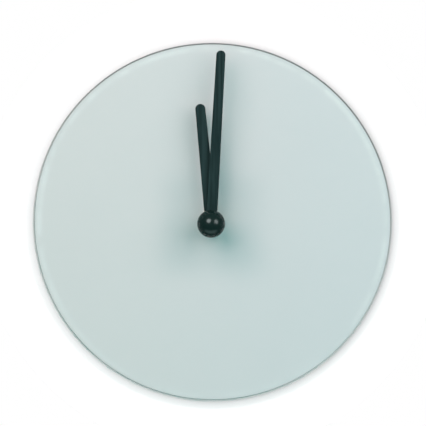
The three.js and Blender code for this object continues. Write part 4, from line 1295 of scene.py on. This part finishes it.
def lamp(name, direction, distance, size, power, color, soft=True, shiny=True):
    """An oval lamp that shines on the dial's middle, for soft light, for highlights or for both.

    Distance and size are in metres, power in watts.
    """
    light = bpy.data.lights.new(name, "AREA")
    light.shape = "ELLIPSE"
    light.size, light.size_y = size
    light.energy = power
    light.color = color
    towards = Vector(direction).normalized()
    made = placed(name, light)
    made.location = towards * distance
    made.rotation_euler = towards.to_track_quat("Z", "Y").to_euler()
    made.visible_diffuse = soft
    made.visible_glossy = shiny
    made.visible_transmission = shiny
    if not soft:
        made.light_linking.receiver_collection = beside_glass


lamp(
    "upper_left_window", direction=(-0.57, -1, 0.70), distance=1.6, size=(1.45, 1.45),
    power=24.7, color=(1.0, 0.615, 0.63), shiny=False,
)
lamp(
    "upper_right_window", direction=(0.87, -1, 0.60), distance=1.6, size=(1.60, 1.60),
    power=20.8, color=(1.0, 0.72, 0.744), shiny=False,
)
lamp(
    "left_glint", direction=(-0.345, -1, 0.545), distance=1.75, size=(1.0, 1.0),
    power=40.0, color=(0.92, 1.0, 1.0), soft=False,
)
lamp(
    "right_glint", direction=(1.03, -1, 0.47), distance=1.75, size=(1.0, 1.0),
    power=26.5, color=(0.92, 1.0, 1.0), soft=False,
)
lamp(
    "low_glint", direction=(0.0, -0.38, -0.92), distance=1.0, size=(1.9, 0.5),
    power=5.6, color=(0.75, 1.0, 1.0), soft=False,
)
lamp(
    "back_window", direction=(0.75, 1, 0.85), distance=1.6, size=(1.1, 1.1),
    power=12.0, color=(1.0, 1.0, 1.0),
)


def fill_light():
    world = bpy.data.worlds.new("even_fill")
    world.use_nodes = True
    bpy.context.scene.world = world
    web = Web(world.node_tree)
    web.tree.nodes.clear()
    towards = web.node("ShaderNodeTexCoord", output="Generated")
    behind = web.step(-0.1, 0.4, web.node("ShaderNodeSeparateXYZ", {}, {0: towards}, "Y"))
    paths = web.node("ShaderNodeLightPath", output="Is Camera Ray")
    shiny = paths.other("Is Glossy Ray").most(paths.other("Is Transmission Ray"))
    light = web.mix(behind, web.mix(shiny, FILL_SOFT, FILL_MIRRORED), FILL_REAR)
    seen = paths.most(behind * shiny)
    color = web.mix(seen, light, (1, 1, 1))
    sky = web.node("ShaderNodeBackground", {}, {"Color": color, "Strength": 1.0})
    web.node("ShaderNodeOutputWorld", {}, {"Surface": sky})


fill_light()


def photograph():
    """The camera looks at the dial from a little above and to the right."""
    azimuth, elevation = math.radians(CAMERA_AZIMUTH), math.radians(CAMERA_ELEVATION)
    back = Vector((
        math.sin(azimuth) * math.cos(elevation),
        -math.cos(azimuth) * math.cos(elevation),
        math.sin(elevation),
    ))
    low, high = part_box("glass_disc")
    disc = (low + high) / 2
    pixel = (high.x - low.x) / 2 / DISC_PIXELS
    right = Vector((math.cos(azimuth), math.sin(azimuth), 0))
    up = back.cross(right)
    half = (FRAME_PIXELS - 1) / 2
    aim = disc + (half - DISC_AT[0]) * pixel * right + (DISC_AT[1] - half) * pixel * up
    camera = bpy.data.cameras.new("photograph")
    camera.sensor_width = SENSOR
    camera.lens = SENSOR * CAMERA_DISTANCE * MM / (FRAME_PIXELS * pixel)
    made = placed("photograph", camera)
    made.location = aim + back * CAMERA_DISTANCE * MM
    made.rotation_euler = back.to_track_quat("Z", "Y").to_euler()
    bpy.context.scene.camera = made


photograph()
bpy.context.scene.view_settings.view_transform = "Standard"
